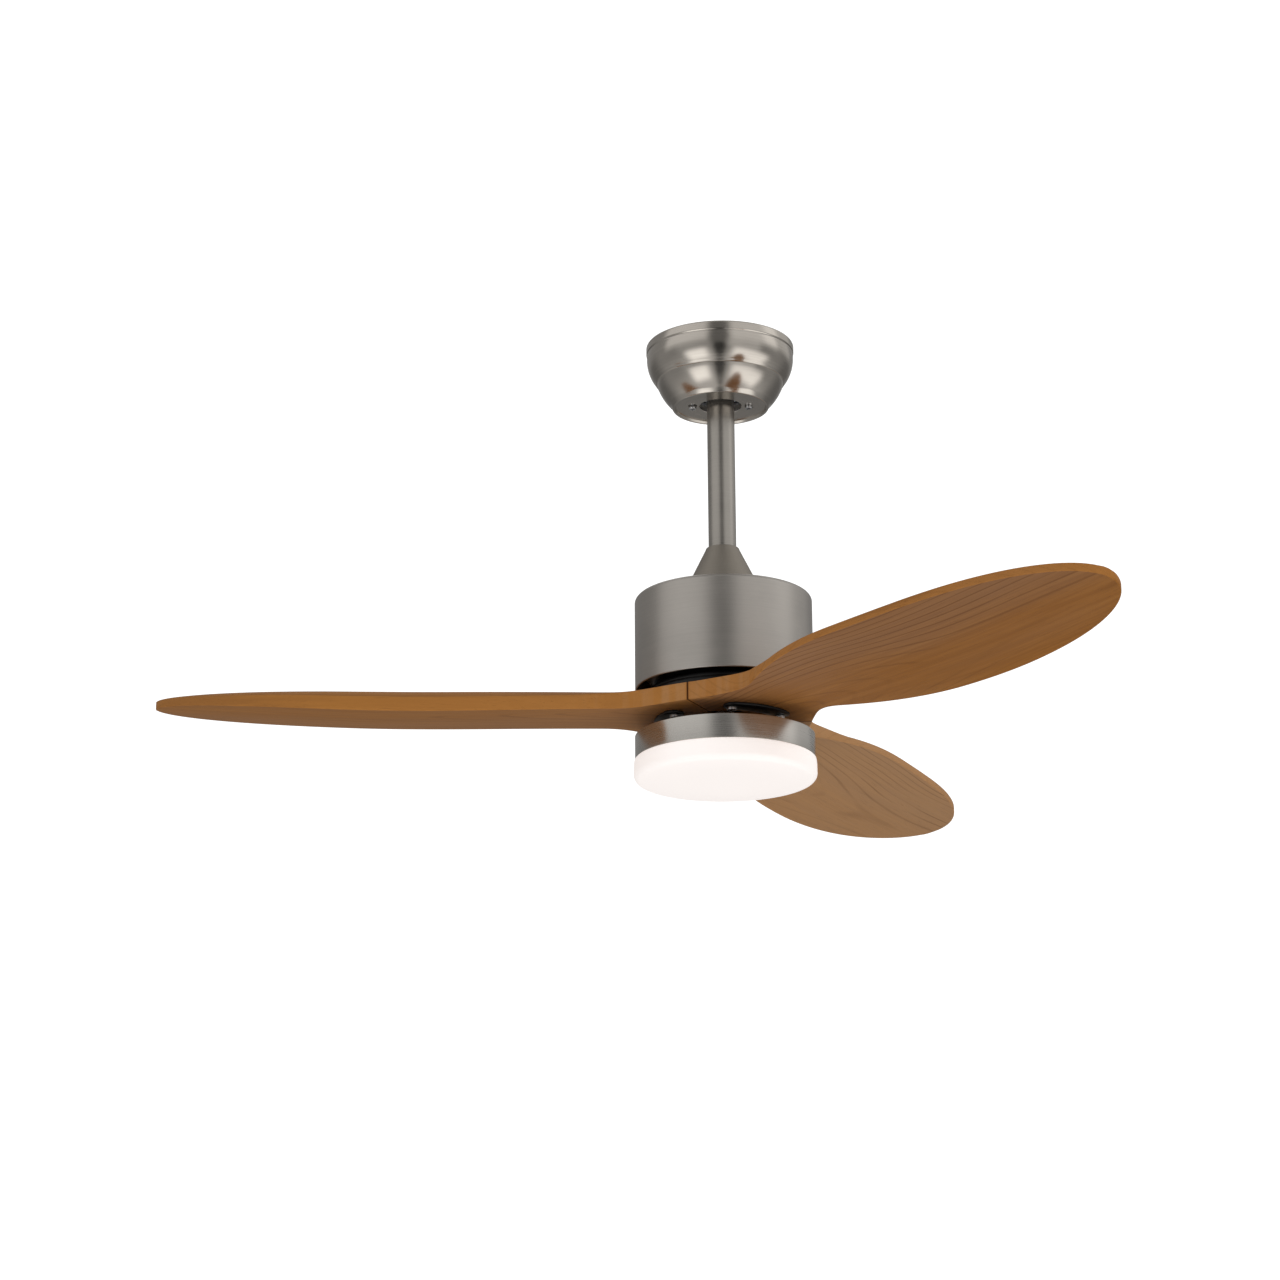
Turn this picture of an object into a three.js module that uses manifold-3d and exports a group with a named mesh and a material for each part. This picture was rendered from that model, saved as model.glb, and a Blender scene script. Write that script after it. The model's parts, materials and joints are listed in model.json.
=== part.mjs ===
// Ceiling fan with light: three solid wood blades, a brushed metal motor housing on a downrod,
// a stepped canopy with a ball hanger, and an LED light kit under the blades.
// Millimetres, +Z up. The origin is on the ceiling, at the centre of the hanger bracket's top face.
import * as THREE from "three";
import { mergeVertices } from "three/addons/utils/BufferGeometryUtils.js";
import Module from "manifold-3d";

const wasm = await Module();
wasm.setup();

// ---- Driving dimensions ----------------------------------------------------------------

const GAP = 0.3; // running gap between pieces that touch or slide
const ROUND = 36; // steps round a large turned piece
const INNER_ROUND = 20; // steps round a turned piece that is hidden inside
const SMALL_ROUND = 8; // steps round a screw, a pin or a drilled hole

const CANOPY = { radius: 74, height: 66, rimRadius: 46, recess: 2.4, holeRadius: 21, wall: 1.2 };
const CANOPY_FLOOR = -CANOPY.height + CANOPY.recess;
const CANOPY_SCREW_X = 28;

const BALL = { z: -38, radius: 24.5, up: 17, down: 16.5 };
const SEAT = { inner: BALL.radius + 0.4, outer: BALL.radius + 2.6, up: 3, down: 15.5 };
const SOCKET = { radius: SEAT.outer + 0.4, outer: 32, top: 4, lip: 16, floor: 18 };

const BRACKET = { length: 112, width: 36, thick: 2.2, slotX: 45, wingX: 28, wingBack: 54, wingFront: 47 };

const ROD = { radius: 13.7, bore: 12, top: BALL.z + 15, bottom: -256 };

const COVER = { top: -213.8, bottom: -265.1, topRadius: 17, baseRadius: 41.3, wall: 1.6 };
const YOKE = { top: -224, bottom: -265.1, radius: 18, flangeRadius: 34, flange: 3.5, pinZ: -241, setZ: -231 };

const HOUSING = { radius: 87.2, top: -265.4, bottom: -359.2, edge: 5, wall: 1.4, neck: 13 };

const SHAFT = { radius: 9, bore: 5.5, top: -267.1, bottom: -405.1, flangeRadius: 30, flange: 4 };
const HOUSING_SCREW_RADIUS = 25;

const ROTOR = { radius: 79, wall: 4.5, top: -282, split: -335, bottom: -352 };
const BEARING = { radius: 16, width: 8, upper: -284, lower: -350 };
const STATOR = { radius: 66, top: -298, bottom: -322, teeth: 12 };
const FLYWHEEL = { radius: 74, neck: 66, top: -352.3, step: -360, bottom: -369.8 };
const GASKET = { top: -370.1, bottom: -371.5, inner: 40, outer: 70 };

const HUB = { top: -371.8, bottom: -389, inner: 36, radius: 85.5, seam: 0.9 };
const BLADE_COUNT = 3;
const FIRST_ROOT_AZIMUTH = -54.3; // degrees, middle of the first blade's root
const BLADE_SCREW = { radius: 59, spread: 29, shank: 2.6, head: 4.7 };
const PLATE = { inner: 49, outer: 69, spread: 37, thick: 2.5, top: HUB.bottom - GAP };

const RING = { radius: 87.6, top: -405.3, bottom: -429.1, wall: 1.3 };
const SHADE = { radius: 89, rim: 88.3, neck: 85.6, bottom: -451, corner: 6.5, wall: 2.2 };
const BOARD = { radius: 74, top: -420, thick: 1.6 };

// ---- Colours -----------------------------------------------------------------------------

const NICKEL = { color: 0x9b948c, roughness: 0.34, metalness: 1 };
const SATIN_NICKEL = { color: 0x8a8178, roughness: 0.5, metalness: 0.9 };
const STEEL = { color: 0xb9bcc0, roughness: 0.35, metalness: 1 };
const ZINC = { color: 0xa3a8ad, roughness: 0.45, metalness: 1 };
const BLACK_PAINT = { color: 0x141414, roughness: 0.4, metalness: 0.2 };
const WOOD = { color: 0x9c6a38, roughness: 0.45, metalness: 0 };
const OPAL = { color: 0xfff6ef, roughness: 0.35, metalness: 0, emissive: 0xfff1e8, emissiveIntensity: 0.9 };
const COPPER = { color: 0xb06a3a, roughness: 0.35, metalness: 0.9 };
const IRON = { color: 0x5c5f63, roughness: 0.55, metalness: 0.9 };
const MAGNET = { color: 0x3a3c40, roughness: 0.5, metalness: 0.6 };
const RUBBER = { color: 0x1c1c1e, roughness: 0.85, metalness: 0 };
const PALE_PLASTIC = { color: 0xb9c3d2, roughness: 0.4, metalness: 0 };
const WHITE_PLASTIC = { color: 0xe9e9e6, roughness: 0.5, metalness: 0 };
const CABLE = { color: 0x2b2b2d, roughness: 0.6, metalness: 0 };

// ---- Tools -------------------------------------------------------------------------------

const group = new THREE.Group();
const radians = THREE.MathUtils.degToRad;
const ease = (t) => THREE.MathUtils.smoothstep(t, 0, 1);

function add(name, geometry, finish) {
  const mesh = new THREE.Mesh(geometry, new THREE.MeshStandardMaterial(finish));
  mesh.name = name;
  group.add(mesh);
  return mesh;
}

// Turns a closed [radius, height] outline round the Z axis.
function turn(outline, steps = ROUND) {
  const points = outline.map(([r, z]) => new THREE.Vector2(r, z));
  if (THREE.ShapeUtils.area(points) < 0) points.reverse();
  points.push(points[0].clone());
  return new THREE.LatheGeometry(points, steps).rotateX(Math.PI / 2);
}

// A ring with a rectangular section.
function tube(inner, outer, bottom, top, steps = ROUND) {
  return turn([[inner, bottom], [outer, bottom], [outer, top], [inner, top]], steps);
}

// A solid cylinder between two points.
function rod(from, to, radius, steps = SMALL_ROUND) {
  const start = new THREE.Vector3(...from);
  const end = new THREE.Vector3(...to);
  const along = end.clone().sub(start);
  const turned = new THREE.Quaternion().setFromUnitVectors(
    new THREE.Vector3(0, 1, 0),
    along.clone().normalize(),
  );
  const geometry = new THREE.CylinderGeometry(radius, radius, along.length(), steps);
  geometry.applyQuaternion(turned);
  return geometry.translate(...start.add(end).multiplyScalar(0.5).toArray());
}

// A box from its lowest corner to its highest corner.
function block(low, high) {
  const size = high.map((value, i) => value - low[i]);
  const middle = high.map((value, i) => (value + low[i]) / 2);
  return new THREE.BoxGeometry(...size).translate(...middle);
}

// Points on an arc: centre radius and height, arc radius, start and end angle in degrees.
function arc(r, z, radius, start, end, steps) {
  return Array.from({ length: steps + 1 }, (_, i) => {
    const angle = radians(start + ((end - start) * i) / steps);
    return [r + radius * Math.cos(angle), z + radius * Math.sin(angle)];
  });
}

function solid(geometry) {
  const plain = geometry.clone();
  plain.deleteAttribute("normal");
  plain.deleteAttribute("uv");
  const merged = mergeVertices(plain, 1e-3);
  return new wasm.Manifold(
    new wasm.Mesh({
      numProp: 3,
      vertProperties: merged.attributes.position.array,
      triVerts: new Uint32Array(merged.index.array),
    }),
  );
}

function geometryOf(manifold) {
  const mesh = manifold.getMesh();
  const geometry = new THREE.BufferGeometry();
  geometry.setAttribute("position", new THREE.BufferAttribute(mesh.vertProperties, 3));
  geometry.setIndex(new THREE.BufferAttribute(mesh.triVerts, 1));
  geometry.computeVertexNormals();
  return geometry;
}

function cut(body, ...tools) {
  return geometryOf(tools.reduce((left, tool) => left.subtract(solid(tool)), solid(body)));
}

function join(...bodies) {
  return geometryOf(bodies.map(solid).reduce((left, right) => left.add(right)));
}

const around = (radius, degrees, z) => [
  radius * Math.cos(radians(degrees)),
  radius * Math.sin(radians(degrees)),
  z,
];

// A pan-head screw that points up: the head hangs below seat height, the shank stands above it.
function screwUp([x, y], seat, tip, shank, head, headHeight) {
  const outline = [
    [0, seat - headHeight],
    [head * 0.6, seat - headHeight],
    [head, seat - headHeight * 0.45],
    [head, seat],
    [shank, seat],
    [shank, tip],
    [0, tip],
  ];
  const recess = headHeight * 0.45;
  const bar = head * 0.55;
  const thick = head * 0.14;
  const low = seat - headHeight - 1;
  const floor = seat - headHeight + recess;
  const screw = cut(
    turnOnAxis(outline, SMALL_ROUND),
    block([-bar, -thick, low], [bar, thick, floor]),
    block([-thick, -bar, low], [thick, bar, floor]),
  );
  return screw.translate(x, y, 0);
}

// Turns an outline that starts and ends on the axis.
function turnOnAxis(outline, steps) {
  const points = outline.map(([r, z]) => new THREE.Vector2(r, z));
  if (THREE.ShapeUtils.area(points) < 0) points.reverse();
  return new THREE.LatheGeometry(points, steps).rotateX(Math.PI / 2);
}

// ---- Ceiling mount -----------------------------------------------------------------------

function hangerBracket() {
  const { length, width, thick, slotX, wingX, wingBack, wingFront } = BRACKET;
  const plate = block([-length / 2, -width / 2, -thick], [length / 2, width / 2, 0]);
  const wings = block([-wingX, -wingFront, -thick], [wingX, wingBack, 0]);
  const socketTop = BALL.z - SOCKET.top;
  const socketFloor = BALL.z - SOCKET.floor;
  const start = -90 + THREE.MathUtils.radToDeg(Math.acos(SOCKET.lip / SOCKET.radius));
  const end = -THREE.MathUtils.radToDeg(Math.asin(SOCKET.top / SOCKET.radius));
  const bowl = arc(0, BALL.z, SOCKET.radius, start, end, 4);
  const socket = turn([
    [bowl[0][0], socketFloor],
    ...bowl,
    [SOCKET.outer, socketTop],
    [SOCKET.outer, socketFloor + 2],
    [36, socketFloor + 2],
    [36, socketFloor],
  ], INNER_ROUND);
  const legs = [-1, 1].map((side) => {
    const inner = side * (SOCKET.outer - 2);
    const outer = side * (SOCKET.outer + 0.4);
    const xs = [inner, outer].sort((a, b) => a - b);
    return block([xs[0], -width / 2 + 4, socketTop - 6], [xs[1], width / 2 - 4, -thick + 0.5]);
  });
  const slots = [-1, 1].map((side) =>
    block([side * slotX - 6, -2.6, -thick - 1], [side * slotX + 6, 2.6, 1]),
  );
  const wireHole = rod([0, 12, -thick - 1], [0, 12, 1], 5);
  const threads = [-1, 1].map((side) =>
    rod([side * CANOPY_SCREW_X, 0, socketFloor - 1], [side * CANOPY_SCREW_X, 0, socketFloor + 8], 2.6),
  );
  return cut(join(plate, wings, socket, ...legs), ...slots, wireHole, ...threads);
}

// Outer outline of the canopy from the ceiling down to its floor: a plain band, a groove,
// two convex bulges and a rolled rim. The floor inside the rim is recessed.
function canopyOutline() {
  const { radius, height, rimRadius } = CANOPY;
  return [
    [radius - 2.8, 0],
    [radius - 0.8, -1.6],
    [radius, -4],
    [radius, -8.4],
    [radius - 1.2, -9.8],
    [radius - 0.6, -11.2],
    ...arc(radius - 38.6, -14, 38, 0, -41, 4),
    [radius - 11.4, -39.9],
    [radius - 11, -41],
    ...arc(rimRadius - 33.9, -23.1, 54, -21, -44, 3),
    [rimRadius + 3.4, -height + 2.4],
    [rimRadius + 2, -height + 0.6],
    [rimRadius, -height],
  ];
}

function canopy() {
  const { radius, height, rimRadius, holeRadius, wall } = CANOPY;
  const inside = [
    [rimRadius - 3, CANOPY_FLOOR + wall],
    [rimRadius + 2, -height + 5.6],
    [rimRadius + 9.5, -51],
    [radius - 13.5, -41.5],
    [radius - 10.5, -37],
    [radius - 5, -25],
    [radius - 2.8, -13],
    [radius - 3.2, -8],
    [radius - 4, 0],
  ];
  const floor = [[rimRadius - 2, CANOPY_FLOOR], [holeRadius, CANOPY_FLOOR], [holeRadius, CANOPY_FLOOR + wall]];
  const shell = turn([...canopyOutline(), ...floor, ...inside]);
  const keyholes = [-1, 1].flatMap((side) => {
    const x = side * CANOPY_SCREW_X;
    return [
      rod([x, 0, CANOPY_FLOOR - 1], [x, 0, CANOPY_FLOOR + 3], 2.7),
      rod([x, side * 3.4, CANOPY_FLOOR - 1], [x, side * 3.4, CANOPY_FLOOR + 3], 4.4),
    ];
  });
  return cut(shell, ...keyholes);
}

function ceilingMount() {
  add("hanger_bracket", hangerBracket(), ZINC);
  add("canopy", canopy(), NICKEL);
  [1, -1].forEach((side, i) => {
    const seat = CANOPY_FLOOR - GAP;
    const screw = screwUp([side * CANOPY_SCREW_X, 0], seat, BALL.z - 16, 2, 3.9, 2.4);
    add(`canopy_screw_${i + 1}`, screw, STEEL);
  });
  const side = SOCKET.outer + GAP;
  const under = -BRACKET.thick - GAP;
  add("receiver_box", block([-31, side, under - 22], [31, side + 22, under]), WHITE_PLASTIC);
  add("terminal_block", block([-14, -side - 15, under - 13], [14, -side, under]), WHITE_PLASTIC);
}

// ---- Ball hanger and rod -----------------------------------------------------------------

function sphereZone(inner, outer, up, down, steps) {
  const low = (radius) => -THREE.MathUtils.radToDeg(Math.asin(down / radius));
  const high = (radius) => THREE.MathUtils.radToDeg(Math.asin(up / radius));
  return turn([
    ...arc(0, BALL.z, outer, low(outer), high(outer), steps),
    ...arc(0, BALL.z, inner, high(inner), low(inner), steps),
  ], INNER_ROUND);
}

function hangerBall() {
  const { z, radius, up, down } = BALL;
  const low = -THREE.MathUtils.radToDeg(Math.asin(down / radius));
  const high = THREE.MathUtils.radToDeg(Math.asin(up / radius));
  const bore = ROD.radius + GAP;
  const ball = turn([...arc(0, z, radius, low, high, 8), [bore, z + up], [bore, z - down]], INNER_ROUND);
  const pinHole = rod([0, -radius - 2, z], [0, radius + 2, z], 3 + GAP);
  const screwHole = rod([bore - 1, 0, z + 9], [radius + 2, 0, z + 9], 2.5 + GAP);
  return cut(ball, pinHole, screwHole);
}

function downrod() {
  const pipe = tube(ROD.bore, ROD.radius, ROD.bottom, ROD.top, INNER_ROUND);
  const ballPin = rod([0, -20, BALL.z], [0, 20, BALL.z], 3 + GAP);
  const yokePin = rod([-20, 0, YOKE.pinZ], [20, 0, YOKE.pinZ], 3 + GAP);
  return cut(pipe, ballPin, yokePin);
}

// A set screw along +X, with a hexagon socket in its outer end, turned to its azimuth.
function setScrew(from, to, z, azimuth) {
  const body = rod([from, 0, z], [to, 0, z], 2.5);
  const socket = rod([to - 2, 0, z], [to + 1, 0, z], 1.4, 6);
  return cut(body, socket).rotateZ(radians(azimuth));
}

function couplingCover() {
  const { top, bottom, topRadius, baseRadius, wall } = COVER;
  const hole = ROD.radius + 0.5;
  return turn([
    [hole, top],
    [topRadius - 2.2, top],
    [topRadius - 0.6, top - 0.8],
    [topRadius, top - 2.4],
    [baseRadius, bottom],
    [baseRadius - wall, bottom],
    [topRadius - wall, top - 3],
    [hole, top - 3],
  ]);
}

function motorYoke() {
  const { top, bottom, radius, flangeRadius, flange, pinZ, setZ } = YOKE;
  const bore = ROD.radius + GAP;
  const collar = turn([
    [bore, top],
    [radius, top],
    [radius, bottom + flange + 3],
    [radius + 3, bottom + flange],
    [flangeRadius, bottom + flange],
    [flangeRadius, bottom],
    [10, bottom],
    [10, bottom + 6],
    [bore, bottom + 9],
  ], INNER_ROUND);
  const holes = [
    rod([-radius - 2, 0, pinZ], [radius + 2, 0, pinZ], 3 + GAP),
    rod([0, -radius - 2, setZ], [0, radius + 2, setZ], 2.5 + GAP),
    ...housingScrewPlaces().map(([x, y]) => rod([x, y, bottom - 1], [x, y, bottom + flange + 4], 2.6)),
  ];
  return cut(collar, ...holes);
}

const housingScrewPlaces = () => [30, 150, 270].map((azimuth) => around(HOUSING_SCREW_RADIUS, azimuth, 0));

// The clip through the end of the yoke pin: a hairpin of thin wire.
function cotterClip() {
  const x = YOKE.radius + 4;
  const route = new THREE.CatmullRomCurve3(
    [[-5, 0], [5, 0], [7.5, 2.2], [5, 4.4], [-3, 4.2], [-5, 5.2]].map(
      ([y, lift]) => new THREE.Vector3(x + lift * 0.2, y, YOKE.pinZ + lift),
    ),
  );
  const wire = new THREE.Shape();
  wire.absarc(0, 0, 0.7, 0, Math.PI * 2);
  return new THREE.ExtrudeGeometry(wire, { steps: 16, extrudePath: route, curveSegments: 3 });
}

function ballHanger() {
  add("ball_seat", sphereZone(SEAT.inner, SEAT.outer, -SEAT.up, SEAT.down, 4), RUBBER);
  add("hanger_ball", hangerBall(), PALE_PLASTIC);
  const reach = BALL.radius - 1.5;
  add("ball_pin", rod([0, -reach, BALL.z], [0, reach, BALL.z], 3), STEEL);
  add("ball_set_screw", setScrew(ROD.radius + GAP, BALL.radius - 3, BALL.z + 9, 0), STEEL);
  add("downrod", downrod(), NICKEL);
  add("coupling_cover", couplingCover(), SATIN_NICKEL);
  add("motor_yoke", motorYoke(), ZINC);
  const clipHole = rod([YOKE.radius + 4, -3, YOKE.pinZ], [YOKE.radius + 4, 3, YOKE.pinZ], 1.3);
  const pin = rod([-YOKE.radius - 3, 0, YOKE.pinZ], [YOKE.radius + 6.5, 0, YOKE.pinZ], 3);
  add("yoke_pin", cut(pin, clipHole), STEEL);
  add("cotter_clip", cotterClip(), STEEL);
  [90, -90].forEach((azimuth, i) => {
    const screw = setScrew(ROD.radius + GAP, YOKE.radius + 3, YOKE.setZ, azimuth);
    add(`yoke_set_screw_${i + 1}`, screw, STEEL);
  });
}

// ---- Motor -------------------------------------------------------------------------------

function motorHousing() {
  const { radius, top, bottom, edge, wall, neck } = HOUSING;
  const shell = turn([
    [neck, top],
    ...arc(radius - edge, top - edge, edge, 90, 0, 4),
    [radius, bottom + 1],
    [radius - 0.9, bottom],
    [radius - wall, bottom],
    [radius - wall, top - edge],
    ...arc(radius - edge, top - edge, edge - wall, 0, 90, 2),
    [neck, top - wall],
  ]);
  const holes = housingScrewPlaces().map(([x, y]) => rod([x, y, top - wall - 1], [x, y, top + 1], 2.6));
  return cut(shell, ...holes);
}

// A screw that points down, from its head on the yoke's flange into the shaft's flange.
function housingScrew([x, y]) {
  const seat = YOKE.bottom + YOKE.flange + GAP;
  const up = screwUp([0, 0], 0, seat - (SHAFT.top - SHAFT.flange + 0.6), 2, 4, 2.8);
  return up.rotateX(Math.PI).translate(x, y, seat);
}

function motorShaft() {
  const { radius, bore, top, bottom, flangeRadius, flange } = SHAFT;
  const stem = turn([
    [bore, top],
    [flangeRadius, top],
    [flangeRadius, top - flange],
    [radius, top - flange],
    [radius, bottom],
    [bore, bottom],
  ], INNER_ROUND);
  const holes = housingScrewPlaces().map(([x, y]) => rod([x, y, top - flange - 1], [x, y, top + 1], 2.5));
  return cut(stem, ...holes);
}

// Laminated core: a ring on the shaft with T-shaped teeth.
function statorCore() {
  const { radius, top, bottom, teeth } = STATOR;
  const disc = tube(SHAFT.radius + GAP, radius, bottom, top, INNER_ROUND);
  const slots = Array.from({ length: teeth }, (_, i) => {
    const azimuth = (360 / teeth) * (i + 0.5);
    const wide = block([34, -8.5, bottom - 1], [radius - 6, 8.5, top + 1]);
    const mouth = block([50, -2, bottom - 1], [radius + 2, 2, top + 1]);
    return join(wide, mouth).rotateZ(radians(azimuth));
  });
  return cut(disc, ...slots);
}

// End turns of the coils: one rounded ring above the core or below it.
function windings(middle) {
  const section = arc(46, middle, 1, 0, 360, 8).slice(1);
  return turn(section.map(([r, z]) => [46 + (r - 46) * 12, middle + (z - middle) * 5]), INNER_ROUND);
}

function rotorTopCap() {
  const { radius, wall, top, split } = ROTOR;
  const seat = BEARING.radius + GAP;
  const roof = top - 3.5;
  return turn([
    [seat, top],
    [radius - 8, top],
    [radius, top - 8],
    [radius, split],
    [radius - wall, split],
    [radius - wall, roof - 7],
    [radius - wall - 6, roof],
    [seat + 4, roof],
    [seat + 4, BEARING.upper - BEARING.width],
    [seat, BEARING.upper - BEARING.width],
  ], INNER_ROUND);
}

function rotorBottomCap() {
  const { radius, split, bottom } = ROTOR;
  const seat = BEARING.radius + GAP;
  return turn([
    [seat, bottom],
    [radius - 10, bottom],
    [radius - 4, bottom + 4],
    [radius, bottom + 9],
    [radius, split - GAP],
    [radius - 5, split - GAP],
    [radius - 10, bottom + 5],
    [seat + 5, bottom + 5],
    [seat + 5, BEARING.lower + BEARING.width],
    [seat, BEARING.lower + BEARING.width],
  ]);
}

// The turned disc that the blades bolt to, with a necked step that shows under the housing.
function flywheel() {
  const { radius, neck, top, step, bottom } = FLYWHEEL;
  const disc = turn([
    [SHAFT.radius + 3, top],
    [neck, top],
    [neck, step],
    [radius - 1.5, step],
    [radius, step - 1.5],
    [radius, bottom + 1.5],
    [radius - 1.5, bottom],
    [SHAFT.radius + 3, bottom],
  ]);
  const threads = bladeScrewPlaces().map(([x, y]) => rod([x, y, bottom - 1], [x, y, bottom + 6], 2.9));
  return cut(disc, ...threads);
}

function motor() {
  add("motor_housing", motorHousing(), NICKEL);
  housingScrewPlaces().forEach((place, i) => add(`housing_screw_${i + 1}`, housingScrew(place), STEEL));
  add("motor_shaft", motorShaft(), STEEL);
  add("stator_core", statorCore(), IRON);
  add("upper_windings", windings(STATOR.top + 5.6), COPPER);
  add("lower_windings", windings(STATOR.bottom - 5.6), COPPER);
  const { upper, lower, width, radius } = BEARING;
  add("upper_bearing", tube(SHAFT.radius + GAP, radius, upper - width, upper, INNER_ROUND), STEEL);
  add("lower_bearing", tube(SHAFT.radius + GAP, radius, lower, lower + width, INNER_ROUND), STEEL);
}

function rotor() {
  add("rotor_top_cap", rotorTopCap(), BLACK_PAINT);
  const magnetOuter = ROTOR.radius - ROTOR.wall - GAP;
  add("magnet_ring", tube(magnetOuter - 5, magnetOuter, STATOR.bottom - 2, STATOR.top + 2, INNER_ROUND), MAGNET);
  add("rotor_bottom_cap", rotorBottomCap(), BLACK_PAINT);
  add("flywheel", flywheel(), BLACK_PAINT);
  const holes = bladeScrewPlaces().map(([x, y]) => rod([x, y, GASKET.bottom - 1], [x, y, GASKET.top + 1], 3.1));
  add("blade_gasket", cut(tube(GASKET.inner, GASKET.outer, GASKET.bottom, GASKET.top), ...holes), RUBBER);
}

// ---- Blades ------------------------------------------------------------------------------

// A blade is drawn in rows of constant radius. Its root is a third of the hub ring; the rest
// narrows through a fillet into a long leaf. Azimuths are measured from the root's middle, and
// t runs across a row from the leading edge, -1, to the trailing edge, 1.
const BLADE = {
  tip: 548.6,
  close: 549.6, // radius at which the leaf's outline would close
  wide: 282, // radius of the widest row
  halfChord: 81,
  waist: 37.6, // half chord that the leaf would have at the hub
  fillet: 41, // radial length of the root fillet
  rounding: 2.79, // 2 is an ellipse, more is blunter
  drop: 5.6, // how far the leaf lies below the root
  dropEnd: 375,
  lift: 7.4, // how far the tip rises again
  liftStart: 271,
  pitch: 9.3, // degrees
  pitchLength: 70, // radial length over which the pitch builds up
  twist: 2.4, // degrees of pitch lost at the tip
  leadThick: 6.8,
  trailThick: 12.8,
  crown: 19.8,
  crownAt: 0.85, // place of the thickest line across the row
  crownLength: 220, // radial length over which the crown builds up
  thinStart: 317, // radius from which the leaf thins towards its tip
  tipLead: 7.5,
  tipTrail: 6.5,
};

const EDGE_LENGTH = 90; // radial length over which the edges thin down from the root

function leafHalfChord(r) {
  const { close, wide, halfChord, waist, rounding } = BLADE;
  if (r < wide) return halfChord - (halfChord - waist) * ((wide - r) / (wide - HUB.radius)) ** 2;
  return halfChord * Math.sqrt(1 - ((r - wide) / (close - wide)) ** rounding);
}

// Half the length of a row, along its arc.
function halfRow(r) {
  const root = (Math.PI / 3) * Math.min(r, HUB.radius) - HUB.seam / 2;
  if (r <= HUB.radius) return root;
  const leaf = leafHalfChord(r);
  const along = Math.min((r - HUB.radius) / BLADE.fillet, 1);
  const fillet = 1 - Math.sqrt(1 - (1 - along) ** 2);
  return leaf + (root - leaf) * fillet;
}

// How far a row lies from the hub ring's edge to the tip, from 0 to 1.
const alongBlade = (r) => Math.max(r - HUB.radius, 0) / (BLADE.tip - HUB.radius);

// Azimuth of a row's middle, in radians: the leaf bows slightly towards its trailing edge.
const rowAzimuth = (r) => radians(1.3 * alongBlade(r) - 0.9 * alongBlade(r) ** 2);

// Rises from 0 at the start radius to 1 at the tip, ever faster.
const towardsTip = (r, start) => Math.max((r - start) / (BLADE.tip - start), 0) ** 2;

function underside(r, t) {
  const { pitch, pitchLength, twist, drop, dropEnd, lift, liftStart } = BLADE;
  const past = Math.max(r - HUB.radius, 0);
  const angle = radians(pitch * (1 - Math.exp(-past / pitchLength)) - twist * alongBlade(r) ** 3);
  const sag = drop * ease(past / (dropEnd - HUB.radius)) - lift * towardsTip(r, liftStart);
  return HUB.bottom - sag - t * halfRow(r) * Math.tan(angle);
}

function thickness(r, t) {
  const { leadThick, trailThick, crown, crownAt, crownLength, thinStart, tipLead, tipTrail } = BLADE;
  const root = HUB.top - HUB.bottom;
  const thin = towardsTip(r, thinStart);
  const at = (length, leafThick, tipThick) => {
    const leaf = ease((r - HUB.radius) / length);
    return root + (leafThick - root) * leaf + (tipThick - leafThick) * thin;
  };
  const lead = at(EDGE_LENGTH, leadThick, tipLead);
  const trail = at(EDGE_LENGTH, trailThick, tipTrail);
  const high = at(crownLength, crown, tipLead);
  if (t < crownAt) return lead + (high - lead) * Math.sin(((t + 1) / (crownAt + 1)) * (Math.PI / 2));
  return high - (high - trail) * ((t - crownAt) / (1 - crownAt)) ** 2;
}

function bladeRows() {
  const { tip, wide, fillet } = BLADE;
  const root = [HUB.inner, 60];
  const bend = [0, 0.03, 0.12, 0.3, 0.6].map((f) => HUB.radius + fillet * f);
  const inner = [126, 160, 215].filter((r) => r < wide);
  const steps = 11;
  const leaf = Array.from({ length: steps + 1 }, (_, i) => {
    return wide + (tip - wide) * Math.sin((i / steps) * (Math.PI / 2));
  });
  return [...root, ...bend, ...inner, ...leaf];
}

function bladeGeometry() {
  const across = [-1, -0.8, -0.45, 0, 0.45, 0.75, BLADE.crownAt, 0.94, 1];
  const rows = bladeRows();
  const points = [];
  for (const r of rows) {
    const place = (t, lift) => {
      const azimuth = rowAzimuth(r) + (t * halfRow(r)) / r;
      points.push(r * Math.cos(azimuth), r * Math.sin(azimuth), underside(r, t) + lift);
    };
    across.forEach((t) => place(t, 0));
    across.toReversed().forEach((t) => place(t, thickness(r, t)));
  }
  const loop = across.length * 2;
  const faces = [];
  for (let i = 0; i + 1 < rows.length; i++) {
    for (let j = 0; j < loop; j++) {
      const a = i * loop + j;
      const b = i * loop + ((j + 1) % loop);
      faces.push(a, b, b + loop, a, b + loop, a + loop);
    }
  }
  const last = (rows.length - 1) * loop;
  for (let j = 0; j + 1 < across.length; j++) {
    const above = loop - 1 - j;
    faces.push(j, above, j + 1, j + 1, above, above - 1);
    faces.push(last + j, last + j + 1, last + above, last + j + 1, last + above - 1, last + above);
  }
  const geometry = new THREE.BufferGeometry();
  geometry.setAttribute("position", new THREE.Float32BufferAttribute(points, 3));
  geometry.setIndex(faces);
  return geometry;
}

const rootAzimuth = (index) => FIRST_ROOT_AZIMUTH + (360 / BLADE_COUNT) * index;

function bladeScrewPlaces() {
  return Array.from({ length: BLADE_COUNT }, (_, i) => rootAzimuth(i)).flatMap((azimuth) =>
    [-1, 1].map((side) => around(BLADE_SCREW.radius, azimuth + side * BLADE_SCREW.spread, 0)),
  );
}

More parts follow.
